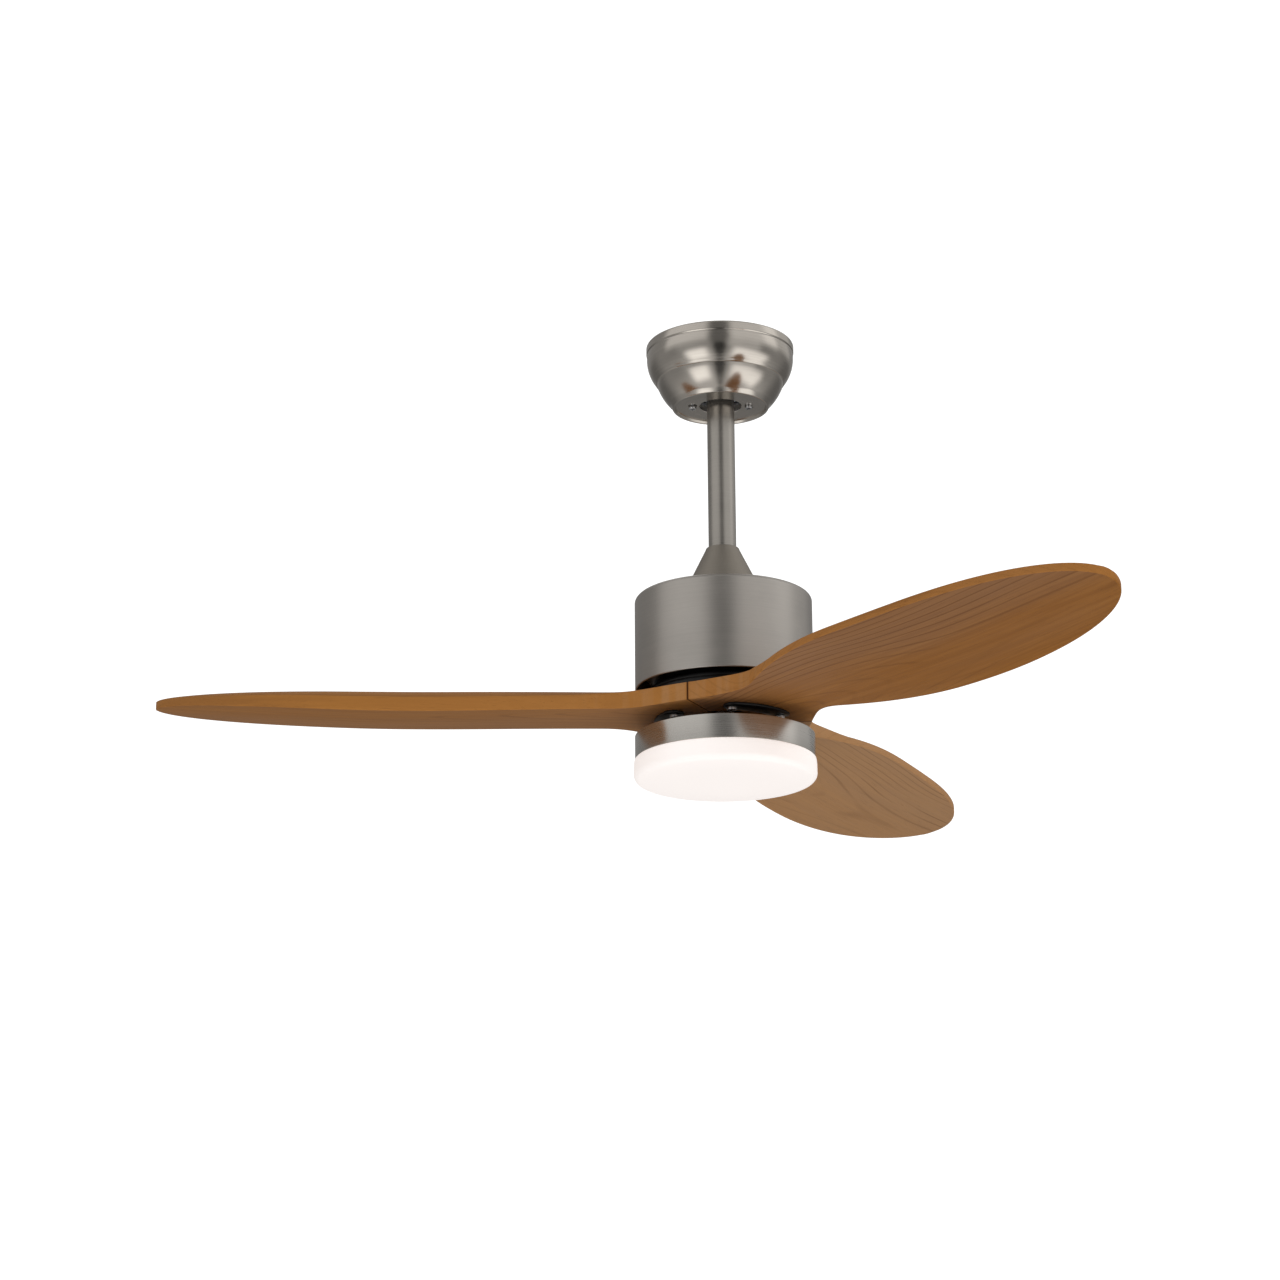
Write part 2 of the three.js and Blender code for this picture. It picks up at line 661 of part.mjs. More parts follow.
function blades() {
  const plain = bladeGeometry();
  const holes = [-1, 1].map((side) => {
    const [x, y] = around(BLADE_SCREW.radius, side * BLADE_SCREW.spread, 0);
    return rod([x, y, HUB.bottom - 2], [x, y, HUB.top + 2], BLADE_SCREW.shank + 0.6);
  });
  const drilled = cut(plain, ...holes);
  for (let i = 0; i < BLADE_COUNT; i++) {
    add(`blade_${i + 1}`, drilled.clone(), WOOD).rotation.z = radians(rootAzimuth(i));
  }
}

// The curved clamp plate under a blade's root, with round ends and two screw holes.
function clampPlate() {
  const { inner, outer, spread, thick, top } = PLATE;
  const middle = (inner + outer) / 2;
  const half = (outer - inner) / 2;
  const sweep = radians(spread) - half / middle;
  const shape = new THREE.Shape();
  shape.absarc(0, 0, outer, -sweep, sweep);
  shape.absarc(middle * Math.cos(sweep), middle * Math.sin(sweep), half, sweep, sweep + Math.PI);
  shape.absarc(0, 0, inner, sweep, -sweep, true);
  shape.absarc(middle * Math.cos(sweep), -middle * Math.sin(sweep), half, Math.PI - sweep, 2 * Math.PI - sweep);
  const sheet = new THREE.ExtrudeGeometry(shape, { depth: thick, bevelEnabled: false, curveSegments: 6 });
  const holes = [-1, 1].map((side) => {
    const [x, y] = around(BLADE_SCREW.radius, side * BLADE_SCREW.spread, 0);
    return rod([x, y, top - thick - 1], [x, y, top + 1], BLADE_SCREW.shank + 0.4);
  });
  return cut(sheet.translate(0, 0, top - thick), ...holes);
}

function bladeFixings() {
  const plate = clampPlate();
  for (let i = 0; i < BLADE_COUNT; i++) {
    add(`blade_plate_${i + 1}`, plate.clone(), BLACK_PAINT).rotation.z = radians(rootAzimuth(i));
  }
  const seat = PLATE.top - PLATE.thick - GAP;
  bladeScrewPlaces().forEach((place, i) => {
    const screw = screwUp(place, seat, FLYWHEEL.bottom + 4, BLADE_SCREW.shank, BLADE_SCREW.head, 3.2);
    add(`blade_screw_${i + 1}`, screw, STEEL);
  });
}

// ---- Light kit ---------------------------------------------------------------------------

const LIGHT_SCREW_X = 34;

function lightBar() {
  const top = RING.top + 2.5;
  const bar = block([-46, -11, RING.top + GAP], [46, 11, top]);
  const bore = rod([0, 0, RING.top - 1], [0, 0, top + 1], SHAFT.radius + GAP, INNER_ROUND);
  const threads = [-1, 1].map((side) =>
    rod([side * LIGHT_SCREW_X, 0, RING.top - 1], [side * LIGHT_SCREW_X, 0, top + 1], 2.4),
  );
  return cut(bar, bore, ...threads);
}

function lightRing() {
  const { radius, top, bottom, wall } = RING;
  const pan = turn([
    [SHAFT.radius + 3, top],
    [radius - 0.8, top],
    [radius, top - 0.8],
    [radius, bottom + 0.5],
    [radius - 0.5, bottom],
    [radius - wall, bottom],
    [radius - wall, top - wall],
    [SHAFT.radius + 3, top - wall],
  ]);
  const holes = [-1, 1].map((side) =>
    rod([side * LIGHT_SCREW_X, 0, top - wall - 1], [side * LIGHT_SCREW_X, 0, top + 1], 2.5),
  );
  return cut(pan, ...holes);
}

// The nut on the shaft's end that holds the light bar, above the bar.
function shaftNut() {
  const bottom = RING.top + 2.5 + GAP;
  const hexagon = rod([0, 0, bottom], [0, 0, bottom + 5], 16, 6);
  return cut(hexagon, rod([0, 0, bottom - 1], [0, 0, bottom + 6], SHAFT.radius + GAP, INNER_ROUND));
}

// Round LED board: two rings of chips on its lower face.
function ledBoard() {
  const { radius, top, thick } = BOARD;
  const disc = tube(6, radius, top - thick, top, INNER_ROUND);
  const chips = [[28, 8], [56, 16]].flatMap(([ring, count]) =>
    Array.from({ length: count }, (_, i) => {
      const chip = block([ring - 2, -2, top - thick - 0.8], [ring + 2, 2, top - thick + 0.2]);
      return chip.rotateZ(radians((360 / count) * i));
    }),
  );
  return join(disc, ...chips);
}

// Opal shade: a neck that stands inside the ring, a shoulder under it, a slightly bellied side
// and a nearly flat bottom.
function shade() {
  const { radius, rim, neck, bottom, corner, wall } = SHADE;
  const shoulder = RING.bottom - 0.5;
  const belly = [[rim, shoulder], [rim + 0.7, shoulder - 4], [radius, shoulder - 8]];
  const outside = [...belly, ...arc(radius - corner, bottom + corner + 0.8, corner, 0, -82, 5)];
  const inside = arc(radius - corner, bottom + corner + 0.8, corner - wall, -82, 0, 3);
  return turnOnAxis([
    [0, bottom],
    [50, bottom + 0.25],
    ...outside.toReversed(),
    [neck, shoulder],
    [neck, shoulder + 6],
    [neck - wall, shoulder + 6],
    [neck - wall, shoulder - 3],
    ...inside.toReversed(),
    [50, bottom + wall + 0.25],
    [0, bottom + wall],
  ], ROUND);
}

function lightKit() {
  add("light_bar", lightBar(), ZINC);
  add("shaft_nut", shaftNut(), STEEL);
  add("light_ring", lightRing(), NICKEL);
  [1, -1].forEach((side, i) => {
    const screw = screwUp([side * LIGHT_SCREW_X, 0], RING.top - RING.wall - GAP, RING.top + 2, 2, 3.8, 2.4);
    add(`light_screw_${i + 1}`, screw, STEEL);
  });
  const roof = RING.top - RING.wall - GAP;
  add("led_driver", block([-36, 14, roof - 11], [36, 46, roof]), WHITE_PLASTIC);
  add("led_board", ledBoard(), WHITE_PLASTIC);
  add("diffuser", shade(), OPAL);
}

// ---- Wires -------------------------------------------------------------------------------

// The bundle of lead wires runs down inside the rod, beside the two cross pins, through the
// hollow shaft and then aside to the LED driver.
function leadWires() {
  const places = [
    [6.6, 0, ROD.top + 4],
    [6.6, 0, BALL.z - 15],
    [0, 6.6, YOKE.pinZ + 40],
    [0, 6.6, YOKE.pinZ - 5],
    [0, 1.5, YOKE.bottom + 6],
    [0, 0, SHAFT.top - 2],
    [0, 0, SHAFT.bottom],
    [0, 2.5, SHAFT.bottom - 7],
    [0, 8, RING.top - 7],
    [0, 13.6, RING.top - 7],
  ];
  const route = new THREE.CatmullRomCurve3(places.map((place) => new THREE.Vector3(...place)), false, "centripetal");
  const section = new THREE.Shape();
  section.absarc(0, 0, 3, 0, Math.PI * 2);
  return new THREE.ExtrudeGeometry(section, { steps: 40, extrudePath: route, curveSegments: 4 });
}

ceilingMount();
ballHanger();
motor();
rotor();
blades();
bladeFixings();
lightKit();
add("lead_wires", leadWires(), CABLE);

export default group;
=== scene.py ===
"""Looks of the ceiling fan with light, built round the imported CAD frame.

Metres, +Z up, the ceiling at z = 0. Outlines are drawn in millimetres and scaled when a mesh
is made. Radii and heights come from the frame's boxes.
"""

import json
import math

import bmesh
import bpy
from mathutils import Matrix, Vector


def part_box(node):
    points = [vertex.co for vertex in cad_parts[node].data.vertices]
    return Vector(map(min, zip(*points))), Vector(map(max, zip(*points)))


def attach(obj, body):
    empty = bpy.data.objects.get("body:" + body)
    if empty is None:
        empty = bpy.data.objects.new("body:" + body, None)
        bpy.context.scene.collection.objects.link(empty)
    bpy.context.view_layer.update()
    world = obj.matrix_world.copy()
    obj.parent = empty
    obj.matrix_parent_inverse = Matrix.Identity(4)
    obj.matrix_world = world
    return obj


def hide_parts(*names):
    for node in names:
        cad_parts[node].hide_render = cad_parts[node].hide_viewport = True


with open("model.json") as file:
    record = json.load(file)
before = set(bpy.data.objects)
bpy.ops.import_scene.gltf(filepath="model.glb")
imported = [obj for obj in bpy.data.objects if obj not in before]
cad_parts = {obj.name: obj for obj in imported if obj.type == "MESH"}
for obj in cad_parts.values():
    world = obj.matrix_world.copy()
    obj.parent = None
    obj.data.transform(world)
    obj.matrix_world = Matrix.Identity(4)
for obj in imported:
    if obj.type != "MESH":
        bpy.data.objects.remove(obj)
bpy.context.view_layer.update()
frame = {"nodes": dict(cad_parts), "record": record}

MM = 0.001
FINE = 160  # steps round a large turned piece
MEDIUM = 96  # steps round a rod or a ball
SMALL = 40  # steps round a screw or a drilled hole
SHARP_ANGLE = 32  # degrees between two faces that still look smooth
NEARLY_STRAIGHT = 150  # degrees, a corner that isn't rounded
ON_AXIS = 1e-6
BLADE_COUNT = 3
FIRST_ROOT_AZIMUTH = -54.3  # degrees, middle of the first blade's root

BODY_OF = {
    node: body
    for body, nodes in frame["record"]["behaviour"]["bodies"].items()
    for node in nodes
}
SLOT_OF = {part["node"]: part["material_slot"] for part in frame["record"]["subparts"]}

# ---- Camera, backdrop and light ----------------------------------------------------------

CAMERA_PLACE = Vector((0, -3.1509, -1.24386))
CAMERA_YAW = -0.02606  # radians from +Y towards +X
CAMERA_PITCH = 0.28913  # radians above the horizon
CAMERA_ROLL = -0.00623
CAMERA_LENS = 94.26  # millimetres on a 36 mm square sensor
FLOOR_HEIGHT = -2.4
DOME_RADIUS = 12.0

# Brightness of the sky above and below, and what each soft box adds or each gap takes away.
UPPER_LEVEL = 0.3
LOWER_LEVEL = 0.62
SIDE_LEVEL = 0.5
LEVEL_LEFT = 0.12
LEVEL_RIGHT = 0.3
LOW_LEFT = 1.1
LOW_RIGHT = 0.95
RIM_LEVEL = 0.3
BACK_LEVEL = 0.5
UPPER_GAP = 0.14
LOWER_GAP = 0.46
BACK_GAP = 0.14
LEAST_LIGHT = 0.03
# What the backdrop and the floor shine with by themselves.
DOME_GLOW = 1.2
FLOOR_GLOW = 0.5


def studio_camera():
    data = bpy.data.cameras.new("camera")
    data.lens = CAMERA_LENS
    data.sensor_width = 36
    camera = bpy.data.objects.new("camera", data)
    bpy.context.scene.collection.objects.link(camera)
    forward = Vector((
        math.sin(CAMERA_YAW) * math.cos(CAMERA_PITCH),
        math.cos(CAMERA_YAW) * math.cos(CAMERA_PITCH),
        math.sin(CAMERA_PITCH),
    ))
    level = Vector((math.cos(CAMERA_YAW), -math.sin(CAMERA_YAW), 0))
    upright = level.cross(forward)
    right = math.cos(CAMERA_ROLL) * level + math.sin(CAMERA_ROLL) * upright
    up = right.cross(forward)
    turned = Matrix((right, up, -forward)).transposed().to_4x4()
    camera.matrix_world = Matrix.Translation(CAMERA_PLACE) @ turned
    bpy.context.scene.camera = camera


def backdrop():
    """A white dome that only the camera sees, and a pale floor far below."""
    def add(name, outline, build_material):
        piece = lathe(name, outline)
        piece.data.materials.append(build_material())
        for ray in ("diffuse", "glossy", "transmission", "volume_scatter", "shadow"):
            setattr(piece, f"visible_{ray}", False)

    size = DOME_RADIUS / MM
    reach = size * 0.9
    floor = FLOOR_HEIGHT / MM
    under = floor - 5
    add("dome", [(0, -size), *arc(0, 0, size, -80, 80, 24), (0, size)], white_glow)
    add("floor", [(0, floor), (reach, floor), (reach, under), (0, under)], floor_paint)


def white_glow():
    material = bpy.data.materials.new("backdrop")
    material.use_nodes = True
    tree = material.node_tree
    tree.nodes.clear()
    glow = tree.nodes.new("ShaderNodeEmission")
    glow.inputs["Strength"].default_value = DOME_GLOW
    output = tree.nodes.new("ShaderNodeOutputMaterial")
    tree.links.new(glow.outputs[0], output.inputs["Surface"])
    return material


def floor_paint():
    material, _, shader = painted("floor_paint", (0.82, 0.82, 0.81), 0.8)
    shader.inputs["Emission Color"].default_value = (0.96, 0.96, 0.95, 1)
    shader.inputs["Emission Strength"].default_value = FLOOR_GLOW
    return material


def studio_light():
    """Soft boxes at both sides of the camera, painted on the sky round the object."""
    world = bpy.data.worlds.new("studio")
    world.use_nodes = True
    bpy.context.scene.world = world
    graph = Graph(world.node_tree)
    sky = world.node_tree.nodes["Background"]
    x, y, z = graph.split(graph.add("ShaderNodeTexCoord").outputs["Generated"])
    # Degrees from -Y towards +X, and degrees above the horizon.
    azimuth = graph.math("DEGREES", graph.math("ARCTAN2", x, graph.times(y, -1)))
    elevation = graph.math("DEGREES", graph.math("ARCSINE", z))

    def box(azimuths, elevations, softness, tall_softness):
        across = graph.window(azimuth, *azimuths, softness)
        tall = graph.window(elevation, *elevations, tall_softness)
        return graph.times(across, tall)

    # Level, then each box's azimuths and elevations in degrees, and how soft its sides and ends are.
    boxes = [
        (SIDE_LEVEL, box((-92, -19), (6, 58), 7, 10)),
        (SIDE_LEVEL, box((16, 100), (6, 58), 7, 10)),
        (LEVEL_LEFT, box((-70, -14), (-16, 6), 7, 8)),
        (LEVEL_RIGHT, box((12, 66), (-16, 6), 7, 8)),
        (LOW_LEFT, box((-60, -22), (-48, -18), 8, 8)),
        (LOW_RIGHT, box((22, 88), (-48, -18), 8, 8)),
        (RIM_LEVEL, box((74, 138), (10, 45), 8, 6)),
        (-UPPER_GAP, box((-15, 13), (-10, 45), 6, 12)),
        (-LOWER_GAP, box((-9, 9), (-75, -10), 5, 12)),
    ]
    behind = graph.window(graph.math("ABSOLUTE", azimuth), 120, 200, 14)
    high = graph.window(elevation, 44, 100, 12)
    boxes.append((BACK_LEVEL, graph.times(behind, high)))
    low = graph.window(elevation, -50, 8, 8)
    boxes.append((-BACK_GAP, graph.times(behind, low)))
    light = graph.blend(graph.window(elevation, -95, -35, 25), UPPER_LEVEL, LOWER_LEVEL)
    for level, shape in boxes:
        light = graph.math("ADD", light, graph.times(shape, level))
    graph.link(graph.math("MAXIMUM", light, LEAST_LIGHT), sky.inputs["Strength"])
    sky.inputs["Color"].default_value = (1.0, 0.985, 0.965, 1)


# ---- Mesh tools --------------------------------------------------------------------------


def extent(node):
    """Half width along X, bottom and top of a CAD node, in millimetres."""
    low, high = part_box(node)
    return (high.x - low.x) / 2 / MM, low.z / MM, high.z / MM


def middle(node):
    """X and Y of a CAD node's middle, in millimetres."""
    low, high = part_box(node)
    return (low.x + high.x) / 2 / MM, (low.y + high.y) / 2 / MM


def ease(value):
    value = min(max(value, 0), 1)
    return value * value * (3 - 2 * value)


def arc(r, z, radius, start, end, steps):
    """Points of an arc in an outline's plane. Angles are degrees from outwards towards up."""
    angles = [math.radians(start + (end - start) * i / steps) for i in range(steps + 1)]
    return [(r + radius * math.cos(angle), z + radius * math.sin(angle)) for angle in angles]


def softened(outline, radius, steps=4):
    """The closed outline with its sharp corners rounded."""
    points = []
    for i, (r, z) in enumerate(outline):
        corner = Vector((r, z))
        before = Vector(outline[i - 1]) - corner
        after = Vector(outline[(i + 1) % len(outline)]) - corner
        if r < ON_AXIS or before.angle(after) > math.radians(NEARLY_STRAIGHT):
            points.append((r, z))
            continue
        reach = min(radius, 0.4 * before.length, 0.4 * after.length)
        start = before.normalized() * reach
        end = after.normalized() * reach
        for j in range(steps + 1):
            share = j / steps
            point = corner + start * (1 - share) ** 2 + end * share**2
            points.append((point.x, point.y))
    return points


def mesh_object(name, vertices, faces):
    """A mesh from points in millimetres, with its faces outward and smooth between sharp edges."""
    mesh = bpy.data.meshes.new(name)
    mesh.from_pydata([[value * MM for value in point] for point in vertices], [], faces)
    shape = bmesh.new()
    shape.from_mesh(mesh)
    bmesh.ops.recalc_face_normals(shape, faces=shape.faces)
    shape.to_mesh(mesh)
    shape.free()
    smooth(mesh)
    piece = bpy.data.objects.new(name, mesh)
    bpy.context.scene.collection.objects.link(piece)
    return piece


def smooth(mesh):
    mesh.polygons.foreach_set("use_smooth", [True] * len(mesh.polygons))
    mesh.set_sharp_from_angle(angle=math.radians(SHARP_ANGLE))


def lathe(name, outline, steps=FINE):
    """Turns a closed outline of (radius, height) round the Z axis."""
    vertices = []
    rings = []
    for r, z in outline:
        count = 1 if r < ON_AXIS else steps
        rings.append((len(vertices), count))
        for k in range(count):
            angle = math.tau * k / steps
            vertices.append((r * math.cos(angle), r * math.sin(angle), z))
    faces = []
    for i, (start, count) in enumerate(rings):
        other, other_count = rings[(i + 1) % len(rings)]
        if count == other_count == 1:
            continue
        for k in range(steps):
            ends = (k, (k + 1) % steps)
            near = [start + k % count for k in ends]
            far = [other + k % other_count for k in ends]
            faces.append(list(dict.fromkeys([*near, *reversed(far)])))
    return mesh_object(name, vertices, faces)


def round_bar(x, y, bottom, top, radius, steps=SMALL):
    """An upright round bar, for cutting holes."""
    bar = lathe("bar", [(0, bottom), (radius, bottom), (radius, top), (0, top)], steps)
    bar.data.transform(Matrix.Translation(Vector((x, y, 0)) * MM))
    return bar


def block(low, high):
    """A box between two corners, for cutting slots."""
    across, along, up = zip(low, high)
    corners = [(x, y, z) for x in across for y in along for z in up]
    faces = [(0, 1, 3, 2), (4, 6, 7, 5), (0, 4, 5, 1), (2, 3, 7, 6), (0, 2, 6, 4), (1, 5, 7, 3)]
    return mesh_object("block", corners, faces)


def carve(piece, *tools):
    """Cuts the tools out of a piece, and removes them."""
    for tool in tools:
        cut = piece.modifiers.new("cut", "BOOLEAN")
        cut.operation = "DIFFERENCE"
        cut.solver = "EXACT"
        cut.object = tool
    shown = piece.evaluated_get(bpy.context.evaluated_depsgraph_get())
    mesh = bpy.data.meshes.new_from_object(shown)
    piece.modifiers.clear()
    piece.data = mesh
    smooth(mesh)
    for tool in tools:
        bpy.data.objects.remove(tool)
    return piece


def turn_about_z(piece, degrees):
    piece.data.transform(Matrix.Rotation(math.radians(degrees), 4, "Z"))
    return piece


def stand_in(node, piece):
    """Gives a fine mesh the CAD node's finish and body, and shows it in the node's place."""
    piece.name = f"{node}_fine"
    piece.data.name = piece.name
    piece.data.materials.clear()
    piece.data.materials.append(FINISHES.get(node, MATERIALS[SLOT_OF[node]]))
    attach(piece, BODY_OF[node])
    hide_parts(node)


# ---- Materials ---------------------------------------------------------------------------


class Graph:
    """Adds shader nodes with their inputs filled or linked."""

    def __init__(self, tree):
        self.tree = tree

    def link(self, value, socket):
        self.tree.links.new(value, socket)

    def add(self, kind, inputs=None, **settings):
        node = self.tree.nodes.new(kind)
        for key, value in settings.items():
            setattr(node, key, value)
        for key, value in (inputs or {}).items():
            if isinstance(value, bpy.types.NodeSocket):
                self.link(value, node.inputs[key])
            else:
                node.inputs[key].default_value = value
        return node

    def math(self, operation, *values):
        return self.add("ShaderNodeMath", dict(enumerate(values)), operation=operation).outputs[0]

    def split(self, vector):
        return self.add("ShaderNodeSeparateXYZ", {"Vector": vector}).outputs

    def combine(self, x, y, z):
        return self.add("ShaderNodeCombineXYZ", {"X": x, "Y": y, "Z": z}).outputs[0]

    def scale(self, vector, factors):
        inputs = {0: vector, 1: factors}
        return self.add("ShaderNodeVectorMath", inputs, operation="MULTIPLY").outputs[0]

    def noise(self, vector, scale, detail=3.0, roughness=0.5, distortion=0.0):
        inputs = {
            "Vector": vector,
            "Scale": scale,
            "Detail": detail,
            "Roughness": roughness,
            "Distortion": distortion,
        }
        return self.add("ShaderNodeTexNoise", inputs).outputs["Fac"]

    def remap(self, value, low, high, to_low=0.0, to_high=1.0, smoothly=False):
        kind = "SMOOTHSTEP" if smoothly else "LINEAR"
        inputs = {"Value": value, 1: low, 2: high, 3: to_low, 4: to_high}
        return self.add("ShaderNodeMapRange", inputs, interpolation_type=kind).outputs[0]

    def window(self, value, start, end, softness):
        """1 between start and end, with soft sides."""
        rise = self.remap(value, start - softness, start + softness, smoothly=True)
        fall = self.remap(value, end - softness, end + softness, smoothly=True)
        return self.math("SUBTRACT", rise, fall)

    def blend(self, share, low, high):
        """Number between low and high."""
        return self.remap(share, 0.0, 1.0, low, high)

    def mix(self, share, first, second):
        """Colour between first and second."""
        inputs = {0: share, 6: tint(first), 7: tint(second)}
        return self.add("ShaderNodeMix", inputs, data_type="RGBA").outputs[2]

    def length(self, vector):
        return self.add("ShaderNodeVectorMath", {0: vector}, operation="LENGTH").outputs[1]

    def attribute(self, name, output="Fac"):
        return self.add("ShaderNodeAttribute", attribute_name=name).outputs[output]

    def times(self, first, second):
        return self.math("MULTIPLY", first, second)

    def bump(self, height, distance, strength=1.0):
        inputs = {"Height": height, "Distance": distance, "Strength": strength}
        return self.add("ShaderNodeBump", inputs).outputs[0]

    def place(self):
        return self.add("ShaderNodeTexCoord").outputs["Object"]


def tint(color):
    """A colour with the alpha that a socket wants, or a linked socket as it is."""
    return (*color, 1) if isinstance(color, tuple) else color


def painted(name, color, roughness, metallic=0.0):
    """A new material with its colour, roughness and metal set on the shader."""
    material = bpy.data.materials.new(name)
    material.use_nodes = True
    shader = material.node_tree.nodes["Principled BSDF"]
    shader.inputs["Base Color"].default_value = tint(color)
    shader.inputs["Roughness"].default_value = roughness
    shader.inputs["Metallic"].default_value = metallic
    return material, Graph(material.node_tree), shader


def dress(graph, shader, color, roughness, normal):
    """Links a surface's colour, roughness and bump to its shader."""
    graph.link(color, shader.inputs["Base Color"])
    graph.link(roughness, shader.inputs["Roughness"])
    graph.link(normal, shader.inputs["Normal"])


def turned_metal(name, color, roughness, line_depth, anisotropic=0.0):
    """Metal with fine lines round its axis and faint cloudy wear."""
    material, graph, shader = painted(name, color, roughness, 1.0)
    place = graph.place()
    x, y, z = graph.split(place)
    radius = graph.length(graph.combine(x, y, 0.0))
    cloud = graph.noise(place, 22.0, 4.0)
    lines = graph.noise(graph.combine(radius, z, graph.times(cloud, 0.002)), 2600.0, 2.0)
    dark = tuple(value * 0.9 for value in color)
    light = tuple(min(value * 1.08, 1) for value in color)
    tone = graph.math("ADD", graph.times(lines, 0.45), graph.times(cloud, 0.55))
    shade = graph.mix(graph.remap(tone, 0.35, 0.65), dark, light)
    spread = graph.remap(graph.math("ADD", lines, cloud), 0.7, 1.3, roughness - 0.04, roughness + 0.05)
    dress(graph, shader, shade, spread, graph.bump(lines, line_depth, 0.35))
    if anisotropic:
        shader.inputs["Anisotropic"].default_value = anisotropic
        shader.inputs["Anisotropic Rotation"].default_value = 0.25
        around = graph.add("ShaderNodeTangent", direction_type="RADIAL", axis="Z")
        graph.link(around.outputs[0], shader.inputs["Tangent"])
    return material


def plain_metal(name, color, roughness, grain=900.0, metallic=1.0):
    """Rolled or machined metal: fine grain, stains and a little unevenness."""
    material, graph, shader = painted(name, color, roughness, metallic)
    place = graph.place()
    fine = graph.noise(place, grain, 3.0)
    stain = graph.noise(place, 45.0, 5.0, 0.6)
    dark = tuple(value * 0.72 for value in color)
    shade = graph.mix(graph.remap(stain, 0.4, 0.65), dark, color)
    spread = graph.remap(fine, 0.3, 0.7, roughness - 0.08, roughness + 0.1)
    dress(graph, shader, shade, spread, graph.bump(fine, 0.00004, 0.4))
    return material


def coat_paint(name, color, roughness, texture_depth):
    """Sprayed paint: a faint orange-peel surface, dust in the gloss and slightly uneven colour."""
    material, graph, shader = painted(name, color, roughness)
    place = graph.place()
    peel = graph.noise(place, 650.0, 2.0)
    cloud = graph.noise(place, 30.0, 4.0)
    light = tuple(value * 1.4 + 0.001 for value in color)
    shade = graph.mix(graph.remap(cloud, 0.35, 0.7), color, light)
    spread = graph.remap(cloud, 0.3, 0.7, roughness - 0.04, roughness + 0.07)
    dress(graph, shader, shade, spread, graph.bump(peel, texture_depth, 0.5))
    shader.inputs["Specular IOR Level"].default_value = 0.35
    return material


def moulded_plastic(name, color, roughness):
    """Plastic with the faint texture and flow clouds of a mould."""
    material, graph, shader = painted(name, color, roughness)
    place = graph.place()
    texture = graph.noise(place, 1500.0, 2.0)
    flow = graph.noise(place, 38.0, 3.0, distortion=0.8)
    dark = tuple(value * 0.86 for value in color)
    shade = graph.mix(graph.remap(flow, 0.35, 0.65), dark, color)
    spread = graph.remap(texture, 0.3, 0.7, roughness - 0.06, roughness + 0.08)
    dress(graph, shader, shade, spread, graph.bump(texture, 0.00003, 0.5))
    return material


def layered(name, color, line_color, roughness, pitch, metallic):
    """Stacked sheets or wound wire: even lines along Z with small differences between them."""
    material, graph, shader = painted(name, color, roughness, metallic)
    place = graph.place()
    height = graph.split(place)[2]
    wave = graph.math("SINE", graph.times(height, math.tau / pitch))
    fray = graph.noise(place, 260.0, 3.0)
    line = graph.remap(graph.math("ADD", wave, fray), 0.2, 1.1)
    shade = graph.mix(line, line_color, color)
    spread = graph.remap(fray, 0.3, 0.7, roughness - 0.08, roughness + 0.1)
    dress(graph, shader, shade, spread, graph.bump(line, 0.0002, 0.7))
    return material


OPAL_DARK = (0.74, 0.72, 0.705)
OPAL_LIGHT = (0.78, 0.765, 0.755)
OPAL_GLOW = (1.0, 0.92, 0.89)
OPAL_GLOW_STRENGTH = 0.57


def opal_plastic():
    """Milky shade, lit from inside: its own glow is a little warmer than the light on it."""
    material, graph, shader = painted("opal", OPAL_DARK, 0.32)
    place = graph.place()
    cloud = graph.noise(place, 14.0, 2.0)
    shade = graph.mix(cloud, OPAL_DARK, OPAL_LIGHT)
    texture = graph.noise(place, 1200.0, 2.0)
    spread = graph.remap(texture, 0.3, 0.7, 0.27, 0.36)
    dress(graph, shader, shade, spread, graph.bump(texture, 0.00002, 0.4))
    shader.inputs["Emission Color"].default_value = tint(OPAL_GLOW)
    shader.inputs["Emission Strength"].default_value = OPAL_GLOW_STRENGTH
    return material


# Colours of the wood: its body and pale figure, the pale one also painted on as sheen; its browner and
# warmer parts; a golden painted highlight for the rim; and its dark lines.
WOOD_DARK = (0.25, 0.094, 0.019)
WOOD_MIDDLE = (0.36, 0.143, 0.032)
WOOD_LIGHT = (0.45, 0.2, 0.05)
WOOD_PALE_AND_SHEEN = (0.6, 0.37, 0.2)
WOOD_BROWN = (0.36, 0.18, 0.085)
WOOD_WARM = (0.41, 0.152, 0.014)
WOOD_RIM_HIGHLIGHT = (0.62, 0.25, 0.045)
WOOD_LINE = (0.12, 0.042, 0.009)
RING_WIDTH = 0.0052  # metres between growth rings
BOARD_SHIFT = (3.1, 0.9, 0.7)  # metres between the boards that the blades are cut from


def growth_rings(graph, grain, own):
    """Dark lines of late wood, round a pith that lies above the blade and tilts along it.

    Also returns how near a point is to the board's heart, towards the leading edge."""
    along, across, up = graph.split(own)
    sway = graph.noise(graph.scale(grain, (2.6, 6.0, 6.0)), 1.0, 2.0)
    lean = graph.math("MULTIPLY_ADD", along, 0.05, 0.06)
    drift = graph.math("MULTIPLY_ADD", sway, 0.024, -0.05)
    aside = graph.math("ADD", across, drift)
    depth = graph.length(graph.combine(0.0, aside, graph.math("SUBTRACT", up, lean)))
    waver = graph.noise(graph.scale(grain, (2.6, 40.0, 40.0)), 1.0, 3.0)
    phase = graph.math("MULTIPLY_ADD", waver, 3.0, graph.times(depth, math.tau / RING_WIDTH))
    rings = graph.remap(graph.math("SINE", phase), 0.72, 1.0)
    come_and_go = graph.noise(graph.scale(grain, (3.5, 28.0, 28.0)), 1.0, 2.0)
    rings = graph.times(rings, graph.remap(come_and_go, 0.4, 0.6))
    heart = graph.math("MULTIPLY_ADD", sway, 0.06, across)
    return rings, graph.remap(heart, 0.065, -0.01, smoothly=True)


